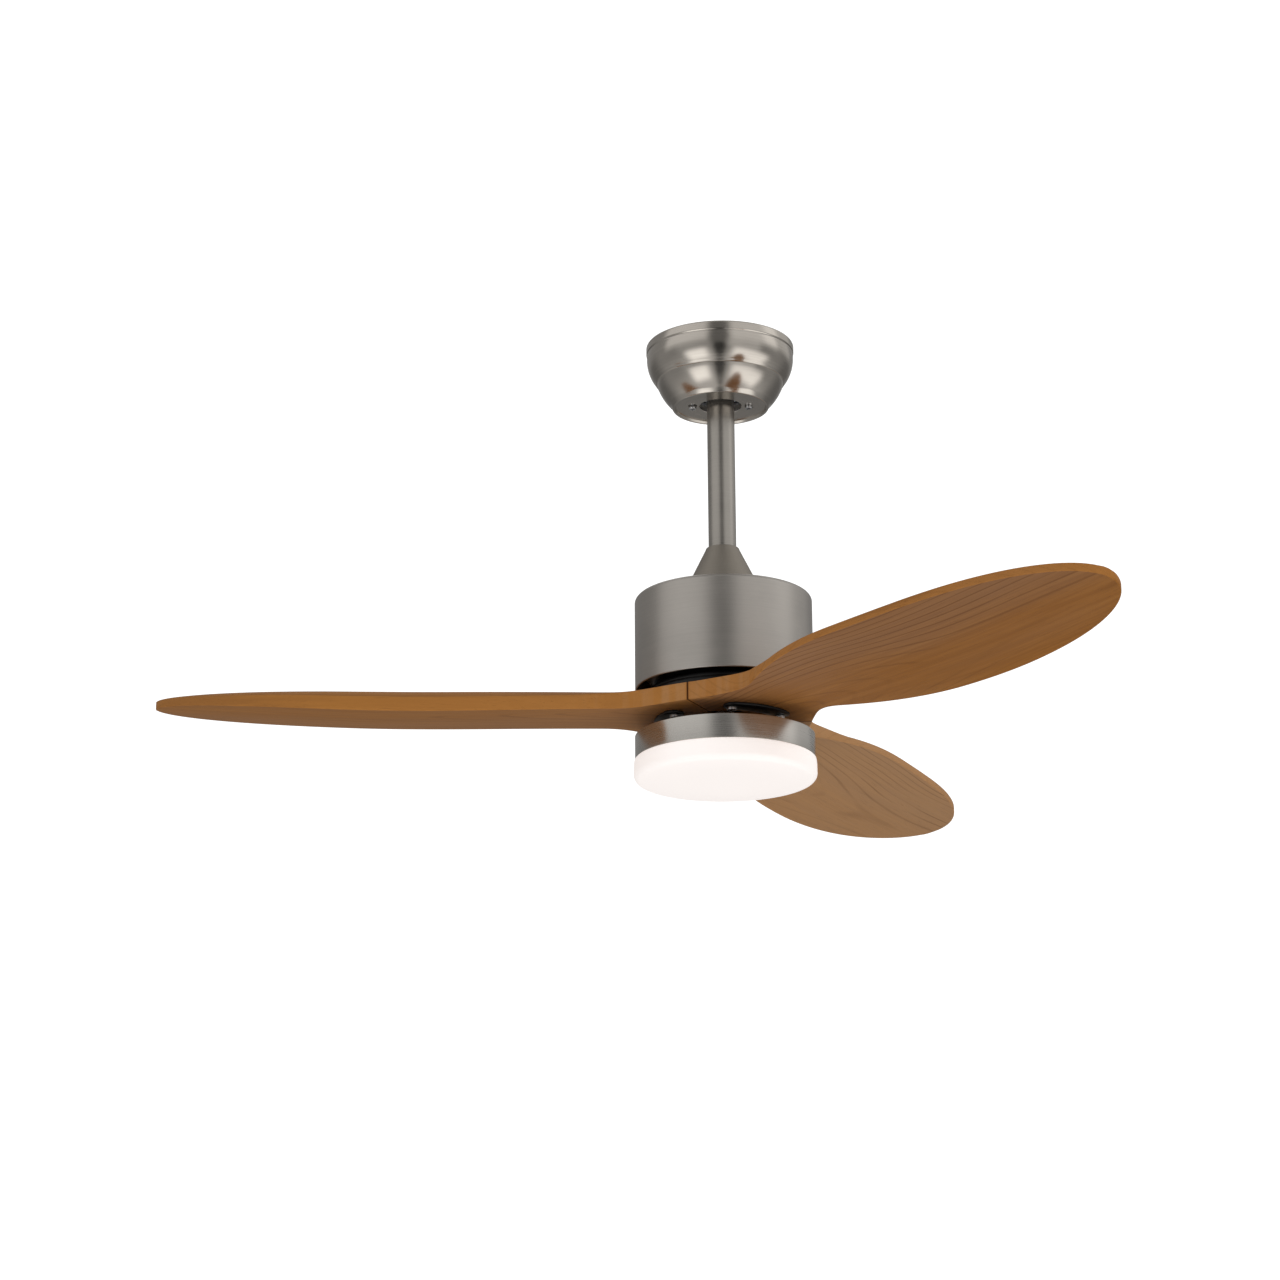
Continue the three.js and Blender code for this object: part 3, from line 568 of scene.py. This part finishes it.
def root_joint(graph, along, across):
    """1 beside the joint where two roots meet, 60 degrees either side of a blade's middle."""
    sideways = graph.times(graph.math("ABSOLUTE", across), -math.cos(math.pi / 3))
    distance = graph.math("MULTIPLY_ADD", along, math.sin(math.pi / 3), sideways)
    return graph.remap(distance, 0.0006, 0.0016, 1.0, 0.0)


def oiled_wood():
    """Oiled solid wood. The mesh attribute "grain" holds (along, across, up) in each blade,
    "pale" sets how much painted sheen lightens the blade and which board its grain comes from,
    and "edge" is 1 on the rim, which gets a golden painted highlight for the front light."""
    material, graph, shader = painted("wood", WOOD_MIDDLE, 0.5)
    own = graph.attribute("grain", "Vector")
    pale = graph.attribute("pale")
    edge = graph.attribute("edge")
    shift = graph.scale(graph.combine(pale, pale, pale), BOARD_SHIFT)
    grain = graph.add("ShaderNodeVectorMath", {0: own, 1: shift}, operation="ADD").outputs[0]
    along, across, _ = graph.split(own)
    rings, heart = growth_rings(graph, grain, own)

    streaks = graph.noise(graph.scale(grain, (2.0, 150.0, 150.0)), 1.0, 6.0, 0.66)
    fibres = graph.noise(graph.scale(grain, (14.0, 900.0, 900.0)), 1.0, 3.0, 0.6)
    pores = graph.noise(graph.scale(grain, (26.0, 1300.0, 1300.0)), 1.0, 2.0)
    pores = graph.remap(pores, 0.64, 0.72)
    patch = graph.noise(graph.scale(grain, (2.2, 13.0, 13.0)), 1.0, 2.0)
    band = graph.noise(graph.scale(grain, (4.2, 9.0, 60.0)), 1.0, 3.0)
    # Short figure across the grain, only near the hub.
    figure = graph.noise(graph.scale(grain, (95.0, 12.0, 5.0)), 1.0, 2.0)
    near_hub = graph.remap(along, 0.09, 0.16, 1.0, 0.0, smoothly=True)

    # Body colour, warmer at the trailing edge and browner at the heart.
    tone = graph.math("MULTIPLY_ADD", streaks, 0.75, graph.times(fibres, 0.25))
    color = graph.mix(graph.remap(tone, 0.34, 0.56), WOOD_DARK, WOOD_MIDDLE)
    color = graph.mix(graph.remap(tone, 0.48, 0.72), color, WOOD_LIGHT)
    color = graph.mix(graph.blend(heart, 0.4, 0.0), color, WOOD_WARM)
    brown = graph.math("MULTIPLY_ADD", heart, 0.4, graph.remap(patch, 0.42, 0.68, 0.0, 0.3))
    color = graph.mix(brown, color, WOOD_BROWN)

    # The rim gets a golden painted highlight for the light from the front, with darker stretches of
    # wood, and is figured near the hub.
    color = graph.mix(graph.times(edge, 0.55), color, WOOD_RIM_HIGHLIGHT)
    band = graph.times(graph.remap(band, 0.5, 0.62, 0.0, 0.4), edge)
    color = graph.mix(band, color, WOOD_DARK)
    figure = graph.times(graph.remap(figure, 0.46, 0.66, 0.0, 0.26), near_hub)
    color = graph.mix(graph.times(figure, edge), color, WOOD_PALE_AND_SHEEN)
    # Painted sheen: each blade is lightened by its own share, the far blade most, for the light it
    # reflects at a grazing angle.
    color = graph.mix(pale, color, WOOD_PALE_AND_SHEEN)

    # Rings, pores, and the dirt and shade in the joints.
    lines = graph.times(rings, graph.blend(heart, 0.2, 0.48))
    lines = graph.times(lines, graph.blend(edge, 1.0, 0.3))
    joint = root_joint(graph, along, across)
    for share in (lines, graph.times(pores, 0.3), graph.times(joint, 0.85)):
        color = graph.mix(share, color, WOOD_LINE)
    relief = graph.math("SUBTRACT", graph.times(streaks, 0.6), pores)
    spread = graph.remap(fibres, 0.3, 0.7, 0.44, 0.58)
    dress(graph, shader, color, spread, graph.bump(relief, 0.0001, 0.5))
    shader.inputs["Specular IOR Level"].default_value = 0.12
    return material


MATERIALS = {
    "brushed_nickel": turned_metal("brushed_nickel", (0.55, 0.53, 0.5), 0.28, 0.00002, 0.3),
    "satin_nickel": turned_metal("satin_nickel", (0.34, 0.31, 0.27), 0.5, 0.00002),
    "zinc_plate": plain_metal("zinc_plate", (0.7, 0.73, 0.77), 0.38, metallic=0.3),
    "steel": plain_metal("steel", (0.66, 0.67, 0.69), 0.27, 1400.0),
    "iron": layered("iron", (0.34, 0.35, 0.37), (0.1, 0.1, 0.11), 0.45, 0.0009, 0.9),
    "copper": layered("copper", (0.62, 0.25, 0.1), (0.22, 0.07, 0.025), 0.3, 0.0011, 1.0),
    "magnet": plain_metal("magnet", (0.12, 0.125, 0.13), 0.55, 1200.0),
    "black_paint": coat_paint("black_paint", (0.004, 0.004, 0.0045), 0.3, 0.000004),
    "wood": oiled_wood(),
    "rubber": coat_paint("rubber", (0.02, 0.02, 0.022), 0.7, 0.00008),
    "pale_plastic": moulded_plastic("pale_plastic", (0.78, 0.86, 0.98), 0.35),
    "white_plastic": moulded_plastic("white_plastic", (0.8, 0.8, 0.78), 0.45),
    "cable": moulded_plastic("cable", (0.03, 0.03, 0.032), 0.5),
    "opal": opal_plastic(),
}

# The motor housing is brushed more coarsely than the light ring, and the canopy more finely.
COARSE_NICKEL = turned_metal("coarse_nickel", (0.48, 0.455, 0.425), 0.4, 0.00004, 0.4)
ROD_NICKEL = turned_metal("rod_nickel", (0.39, 0.37, 0.34), 0.33, 0.00002)
FINE_NICKEL = turned_metal("fine_nickel", (0.54, 0.505, 0.46), 0.19, 0.00001, 0.2)
FINISHES = {"motor_housing": COARSE_NICKEL, "downrod": ROD_NICKEL, "canopy": FINE_NICKEL}

# ---- Canopy, rod and coupling cover ------------------------------------------------------


def canopy():
    radius, bottom, _ = extent("canopy")
    rim = radius - 28
    floor = bottom + 2.4
    hole = 21
    wall = 1.2
    top_edge = 2.4
    band_foot = 1.6
    upper_bowl = 38
    lower_bowl = 54
    step = 1.2
    lip = 1.4
    outside = [
        *arc(radius - top_edge, -top_edge, top_edge, 90, 0, 5),
        *arc(radius - band_foot, -8.0, band_foot, 0, -50, 4),
        (radius - 0.9, -10.2),
        *arc(radius - upper_bowl - 0.6, -14, upper_bowl, 4, -39, 22),
        *arc(radius - 10.6, -38.4, step, -45, -90, 4),
        *arc(rim - lower_bowl + 20.1, -23.1, lower_bowl, -20.5, -46, 16),
        *arc(rim + 0.8, bottom + lip, lip, -30, -90, 5),
    ]
    floor_part = [
        (rim - 0.3, bottom + 0.4),
        (rim - 1.2, floor),
        (hole + 0.4, floor),
        (hole, floor + 0.4),
        (hole, floor + wall),
    ]
    inside = [
        (rim - 3, floor + wall),
        (rim + 2, bottom + 5.6),
        (rim + 9.5, -51),
        (radius - 13.5, -41.5),
        (radius - 10.5, -37),
        (radius - 5, -25),
        (radius - 2.8, -13),
        (radius - 3.2, -8),
        (radius - 4, 0),
    ]
    shell = lathe("canopy", [*outside, *floor_part, *inside])
    # A keyhole at each screw: a narrow hole, and a wide one beside it for the head to pass.
    tools = []
    for node, side in (("canopy_screw_1", 1), ("canopy_screw_2", -1)):
        x = middle(node)[0]
        tools.append(round_bar(x, 0, floor - 1, floor + 3, 2.7))
        tools.append(round_bar(x, side * 3.6, floor - 1, floor + 3, 4.6))
    return carve(shell, *tools)


def screw(node, head_up=False):
    """A pan head with a cross recess on a threaded shank, in the place of a CAD screw."""
    head, bottom, top = extent(node)
    x, y = middle(node)
    length = top - bottom
    tall = 0.6 * head
    shank = 0.5 * head
    root = 0.84 * shank
    pitch = 0.8
    edge = 1.1
    outline = [
        (0, 0),
        (0.45 * head, 0),
        *arc(head - edge, edge, edge, -90, 0, 4),
        (head, tall),
        (shank, tall),
    ]
    turns = int((length - tall - 1) / pitch)
    for i in range(turns):
        start = tall + 0.3 + i * pitch
        outline += [(shank, start), (root, start + pitch / 2)]
    outline += [(shank * 0.7, length), (0, length)]
    piece = lathe(node, outline, SMALL)
    wide, narrow, deep = 0.62 * head, 0.13 * head, 0.4 * head
    carve(
        piece,
        block((-wide, -narrow, -1), (wide, narrow, deep)),
        block((-narrow, -wide, -1), (narrow, wide, deep)),
    )
    turn_about_z(piece, 24 + 7 * x)  # no two crosses stand the same way
    if head_up:
        piece.data.transform(Matrix.Rotation(math.pi, 4, "X"))
    seat = top if head_up else bottom
    piece.data.transform(Matrix.Translation(Vector((x, y, seat)) * MM))
    return piece


def downrod():
    radius, bottom, top = extent("downrod")
    wall = 1.7
    outline = [(radius, bottom), (radius, top), (radius - wall, top), (radius - wall, bottom)]
    return lathe("downrod", softened(outline, 0.5), MEDIUM)


def coupling_cover():
    base, bottom, top = extent("coupling_cover")
    neck = 17
    wall = 1.6
    hole = extent("downrod")[0] + 0.5
    under = top - 3
    outline = [
        (hole, top),
        (neck - 0.6, top),
        (neck, top - 2.0),
        (base, bottom),
        (base - wall, bottom),
        (neck - wall, under),
        (hole, under),
    ]
    return lathe("coupling_cover", softened(outline, 2.2, 6))


def hanger_ball():
    radius, bottom, top = extent("hanger_ball")
    centre = (bottom + top) / 2 - 0.25
    bore = extent("downrod")[0] + 0.3
    low = -math.degrees(math.asin((centre - bottom) / radius))
    high = math.degrees(math.asin((top - centre) / radius))
    outline = [*arc(0, centre, radius, low, high, 28), (bore, top), (bore, bottom)]
    return lathe("hanger_ball", outline, MEDIUM)


# ---- Motor and hub -----------------------------------------------------------------------


def motor_housing():
    radius, bottom, top = extent("motor_housing")
    edge = 5
    lip = 1.1
    wall = 1.4
    neck = 13
    outline = [
        (neck, top),
        *arc(radius - edge, top - edge, edge, 90, 0, 10),
        *arc(radius - lip, bottom + lip, lip, 0, -90, 5),
        (radius - wall, bottom),
        (radius - wall, top - edge),
        *arc(radius - edge, top - edge, edge - wall, 0, 90, 6),
        (neck, top - wall),
    ]
    return lathe("motor_housing", outline)


def rotor_bottom_cap():
    radius, bottom, _ = extent("rotor_bottom_cap")
    rim_top = -335.3
    seat = 16.3
    seat_top = extent("lower_bearing")[2]
    wall = 5
    outline = [
        (seat, bottom),
        (radius - 10, bottom),
        (radius - 4, bottom + 4),
        (radius, bottom + 9),
        (radius, rim_top),
        (radius - wall, rim_top),
        (radius - 10, bottom + wall),
        (seat + wall, bottom + wall),
        (seat + wall, seat_top),
        (seat, seat_top),
    ]
    return lathe("rotor_bottom_cap", softened(outline, 0.8))


def flywheel():
    radius, bottom, top = extent("flywheel")
    bore = 12
    neck = radius - 8
    step = top - 7.7
    groove = step - 3.6
    groove_floor = radius - 0.9
    outline = [
        (bore, top),
        (neck, top),
        (neck, step),
        (radius, step),
        (radius, groove),
        (groove_floor, groove - 0.3),
        (groove_floor, groove - 0.9),
        (radius, groove - 1.2),
        (radius, bottom),
        (bore, bottom),
    ]
    return lathe("flywheel", softened(outline, 0.6))


def blade_gasket():
    radius, bottom, top = extent("blade_gasket")
    bore = 40
    outline = [(bore, bottom), (radius, bottom), (radius, top), (bore, top)]
    return lathe("blade_gasket", softened(outline, 0.3))


def motor_shaft():
    flange, bottom, top = extent("motor_shaft")
    bore = 5.5
    stem = 9
    step = top - 4
    outline = [(bore, top), (flange, top), (flange, step), (stem, step), (stem, bottom), (bore, bottom)]
    return lathe("motor_shaft", softened(outline, 0.4), MEDIUM)


# ---- Blades ------------------------------------------------------------------------------

# A blade is drawn in rows of constant radius. Its root is a third of the hub ring; the rest
# narrows through a fillet into a long leaf. Azimuths are measured from the root's middle, and
# t runs across a row from the leading edge, -1, to the trailing edge, 1.
HUB_BOTTOM, HUB_TOP = -389.0, -371.8
HUB_INNER, HUB_RADIUS = 36.0, 85.5
SEAM = 0.9
TIP = 549.4
CLOSE = 549.6  # where the leaf's two sides would meet
WIDE = 282
HALF_CHORD = 81
WAIST = 37.6
FILLET = 41
TIP_POWER = 2.79
SWEEP, SWEEP_BACK = 1.3, 0.9  # degrees
PITCH, PITCH_REACH, TIP_UNTWIST = 9.3, 70, 2.4  # degrees, and how far out the pitch grows
SAG, SAG_END = 5.6, 375
LIFT, LIFT_START = 7.4, 271
THINNING_START = 317
CREST = 0.85  # where across a row the upper face is highest
# How far out each part of a row reaches its full thickness, that thickness, and the tip's.
LEAD = (90, 6.8, 7.5)
TRAIL = (90, 12.8, 6.5)
CROWN = (220, 19.8, 7.5)
ARRIS = 1.3
SEAM_ARRIS = 0.3  # where two roots meet
ROOT_ROWS, FILLET_ROWS, LEAF_ROWS, POINT_ROWS = 6, 16, 14, 34
HALF_ROW_STEPS = 13
CORNER_STEPS = 4
# Painted sheen of each blade, the far one most, for its grazing reflection; it also picks the board its
# grain comes from.
BLADE_SHEEN_AND_BOARD = (0.02, 0.5, 0.1)
SCREW_RADIUS, SCREW_SPREAD = 59, 29


def leaf_half_chord(r):
    if r < WIDE:
        return HALF_CHORD - (HALF_CHORD - WAIST) * ((WIDE - r) / (WIDE - HUB_RADIUS)) ** 2
    return HALF_CHORD * math.sqrt(1 - ((r - WIDE) / (CLOSE - WIDE)) ** TIP_POWER)


def half_row(r):
    root = math.pi / 3 * min(r, HUB_RADIUS) - SEAM / 2
    if r <= HUB_RADIUS:
        return root
    along = min((r - HUB_RADIUS) / FILLET, 1)
    fillet = 1 - math.sqrt(1 - (1 - along) ** 2)
    leaf = leaf_half_chord(r)
    return leaf + (root - leaf) * fillet


def row_slope(r):
    """How fast a blade widens along its length."""
    return (half_row(r + 0.05) - half_row(r - 0.05)) / 0.1


def along_blade(r):
    return max(r - HUB_RADIUS, 0) / (TIP - HUB_RADIUS)


def row_azimuth(r):
    return math.radians(SWEEP * along_blade(r) - SWEEP_BACK * along_blade(r) ** 2)


def towards_tip(r, start):
    return max((r - start) / (TIP - start), 0) ** 2


def underside(r, t):
    past = max(r - HUB_RADIUS, 0)
    pitch = PITCH * (1 - math.exp(-past / PITCH_REACH)) - TIP_UNTWIST * along_blade(r) ** 3
    sag = SAG * ease(past / (SAG_END - HUB_RADIUS)) - LIFT * towards_tip(r, LIFT_START)
    return HUB_BOTTOM - sag - t * half_row(r) * math.tan(math.radians(pitch))


def thickness(r, t):
    root = HUB_TOP - HUB_BOTTOM
    thin = towards_tip(r, THINNING_START)
    lead, trail, crown = [
        root + (full - root) * ease((r - HUB_RADIUS) / length) + (tip - full) * thin
        for length, full, tip in (LEAD, TRAIL, CROWN)
    ]
    if t < CREST:
        return lead + (crown - lead) * math.sin((t + 1) / (1 + CREST) * math.pi / 2)
    return crown - (crown - trail) * ((t - CREST) / (1 - CREST)) ** 2


def blade_rows():
    neck = HUB_RADIUS + FILLET
    root = [HUB_INNER + (HUB_RADIUS - HUB_INNER) * i / ROOT_ROWS for i in range(ROOT_ROWS + 1)]
    fillet = [HUB_RADIUS + FILLET * (i / FILLET_ROWS) ** 2 for i in range(1, FILLET_ROWS + 1)]
    leaf = [neck + (WIDE - neck) * i / LEAF_ROWS for i in range(1, LEAF_ROWS + 1)]
    turns = [i / POINT_ROWS * math.pi / 2 for i in range(1, POINT_ROWS + 1)]
    point = [WIDE + (TIP - WIDE) * math.sin(turn) for turn in turns]
    return [*root, *fillet, *leaf, *point]


def row_loop(r):
    """One closed row of points, (t, height): underside, trailing edge, top, leading edge."""
    half = half_row(r)
    slope = row_slope(r) if HUB_RADIUS < r < TIP else 0
    arris = SEAM_ARRIS + (ARRIS - SEAM_ARRIS) * ease((r - HUB_RADIUS) / 20)
    reach = min(arris * math.hypot(1, slope), 0.45 * half) / half
    inner = 1 - reach
    steps = [i / HALF_ROW_STEPS - 1 for i in range(1, 2 * HALF_ROW_STEPS)]
    across = [math.sin(math.pi / 2 * step) * inner for step in steps]
    corner = [math.pi / 2 * i / CORNER_STEPS for i in range(CORNER_STEPS + 1)]
    turn = [(inner + reach * math.sin(angle), arris * (1 - math.cos(angle))) for angle in corner]
    under = [(-t, inset) for t, inset in reversed(turn)] + [(t, 0.0) for t in across] + turn
    lower = [(t, underside(r, t) + inset) for t, inset in under]
    upper = [(t, underside(r, t) + thickness(r, t) - inset) for t, inset in reversed(under)]
    return [*lower, *upper]


def on_edge(point):
    """Whether a point of the blade before it is turned lies on its rim."""
    r = min(math.hypot(point.x, point.y), TIP - 0.1)
    along_row = abs(math.atan2(point.y, point.x) - row_azimuth(r)) * r
    return (half_row(r) - along_row) / math.hypot(1, row_slope(r)) < 0.8 * ARRIS


def screw_drills(bottom, top, radius):
    """Bars that cut the two screw holes through a blade's root or its plate."""
    drills = []
    for side in (-1, 1):
        angle = math.radians(side * SCREW_SPREAD)
        x, y = SCREW_RADIUS * math.cos(angle), SCREW_RADIUS * math.sin(angle)
        drills.append(round_bar(x, y, bottom, top, radius))
    return drills


def label(piece, name, values):
    """Writes a number on every point of a mesh, for its material to read."""
    attribute = piece.data.attributes.new(name, "FLOAT", "POINT")
    attribute.data.foreach_set("value", values)


def blade(name, azimuth, pale):
    points = []
    rows = blade_rows()
    for r in rows:
        for t, height in row_loop(r):
            angle = row_azimuth(r) + t * half_row(r) / r
            points.append((r * math.cos(angle), r * math.sin(angle), height))
    loop = len(points) // len(rows)
    faces = []
    for i in range(len(rows) - 1):
        for j in range(loop):
            a, b = i * loop + j, i * loop + (j + 1) % loop
            faces.append((a, b, b + loop, a + loop))
    for start in (0, (len(rows) - 1) * loop):
        for j in range(loop // 2 - 1):
            above = loop - 1 - j
            faces.append((start + j, start + j + 1, start + above - 1, start + above))
    piece = mesh_object(name, points, faces)
    carve(piece, *screw_drills(HUB_BOTTOM - 2, HUB_TOP + 2, 3.2))
    vertices = piece.data.vertices
    grain = piece.data.attributes.new("grain", "FLOAT_VECTOR", "POINT")
    for vertex, place in zip(vertices, grain.data):
        place.vector = vertex.co - Vector((0, 0, HUB_BOTTOM * MM))
    # The blade's share of painted sheen, and its rim, which the wood gives a golden painted highlight.
    label(piece, "pale", [pale] * len(vertices))
    label(piece, "edge", [float(on_edge(vertex.co / MM)) for vertex in vertices])
    return turn_about_z(piece, azimuth)


def plate_outline(inner, outer, sweep):
    """An arched strip with round ends, as (x, y) points."""
    ring = (inner + outer) / 2
    half = (outer - inner) / 2
    ends = [math.pi * i / 12 for i in range(13)]
    angles = [sweep * (i / 16 - 1) for i in range(1, 32)]
    outline = [(outer * math.cos(angle), outer * math.sin(angle)) for angle in angles]
    for side in (1, -1):
        x, y = ring * math.cos(sweep), side * ring * math.sin(sweep)
        start = sweep if side > 0 else math.pi - sweep
        outline += [(x + half * math.cos(start + end), y + half * math.sin(start + end)) for end in ends]
        if side > 0:
            outline += [(inner * math.cos(angle), inner * math.sin(angle)) for angle in reversed(angles)]
    return outline


def clamp_plate(name, azimuth):
    """The curved plate under a blade's root, with round ends and two screw holes."""
    inner, outer, thick = 49, 69, 2.5
    spread = 37
    top = extent(name)[2]
    sweep = math.radians(spread) - (outer - inner) / (outer + inner)
    outline = plate_outline(inner, outer, sweep)
    # Height above the underside, and how far the outline draws in there.
    levels = [(0.0, 0.6), (0.25, 0.15), (0.6, 0), (thick - 0.4, 0), (thick, 0.4)]
    points = []
    count = len(outline)
    tangents = [Vector(outline[(i + 1) % count]) - Vector(outline[i - 1]) for i in range(count)]
    for lift, inset in levels:
        for (x, y), along in zip(outline, tangents):
            inward = Vector((-along.y, along.x)).normalized() * inset
            points.append((x + inward.x, y + inward.y, top - thick + lift))
    last = len(levels) - 1
    faces = [tuple(range(count)), tuple(range(count * last, count * (last + 1)))]
    for i in range(last):
        for j in range(count):
            a, b = i * count + j, i * count + (j + 1) % count
            faces.append((a, b, b + count, a + count))
    piece = mesh_object(name, points, faces)
    carve(piece, *screw_drills(top - thick - 1, top + 1, 3.0))
    return turn_about_z(piece, azimuth)


# ---- Light kit ---------------------------------------------------------------------------


def light_ring():
    radius, bottom, top = extent("light_ring")
    wall = 1.3
    hole = 12
    under = top - wall
    outline = [
        (hole, top),
        (radius, top),
        (radius, bottom),
        (radius - wall, bottom),
        (radius - wall, under),
        (hole, under),
    ]
    ring = lathe("light_ring", softened(outline, 0.7))
    screws = [middle(node) for node in ("light_screw_1", "light_screw_2")]
    return carve(ring, *[round_bar(x, y, under - 1, top + 1, 2.5) for x, y in screws])


def diffuser():
    radius, bottom, top = extent("diffuser")
    shoulder = extent("light_ring")[1] - 0.5
    rim = radius - 0.7
    neck = radius - 3.4
    corner = 6.5
    wall = 2.2
    flat = 50  # where the bottom starts to rise towards the corner
    centre = (radius - corner, bottom + corner + 0.8)
    outside = [
        (neck, shoulder),
        (rim - 0.4, shoulder),
        (rim, shoulder - 0.4),
        (rim + 0.45, shoulder - 3),
        (rim + 0.65, shoulder - 6),
        *arc(*centre, corner, 0, -82, 14),
        (flat, bottom + 0.25),
        (0, bottom),
    ]
    inside = [
        (0, bottom + wall),
        (flat, bottom + wall + 0.25),
        *arc(*centre, corner - wall, -82, 0, 8),
        (neck - wall, shoulder - 3),
        (neck - wall, top),
        (neck, top),
    ]
    return lathe("diffuser", [*outside, *inside])


# ---- Assembly ----------------------------------------------------------------------------


def carried_over():
    """CAD nodes that stay get their finish and softened edges."""
    for node, piece in frame["nodes"].items():
        for place in piece.material_slots:
            place.material = MATERIALS[SLOT_OF[node]]
        edge = piece.modifiers.new("soft_edge", "BEVEL")
        edge.width = 0.3 * MM
        edge.segments = 2
        edge.angle_limit = math.radians(50)


def fine_pieces():
    builders = [
        canopy,
        downrod,
        coupling_cover,
        hanger_ball,
        motor_housing,
        rotor_bottom_cap,
        flywheel,
        blade_gasket,
        motor_shaft,
        light_ring,
        diffuser,
    ]
    for build in builders:
        stand_in(build.__name__, build())
    for i in range(BLADE_COUNT):
        azimuth = FIRST_ROOT_AZIMUTH + 360 / BLADE_COUNT * i
        wing, plate = f"blade_{i + 1}", f"blade_plate_{i + 1}"
        stand_in(wing, blade(wing, azimuth, BLADE_SHEEN_AND_BOARD[i]))
        stand_in(plate, clamp_plate(plate, azimuth))
    for node in frame["nodes"]:
        if "_screw_" in node and not node.startswith("yoke_set"):
            stand_in(node, screw(node, head_up=node.startswith("housing")))


carried_over()
fine_pieces()
backdrop()
studio_light()
studio_camera()
bpy.context.scene.view_settings.view_transform = "Standard"
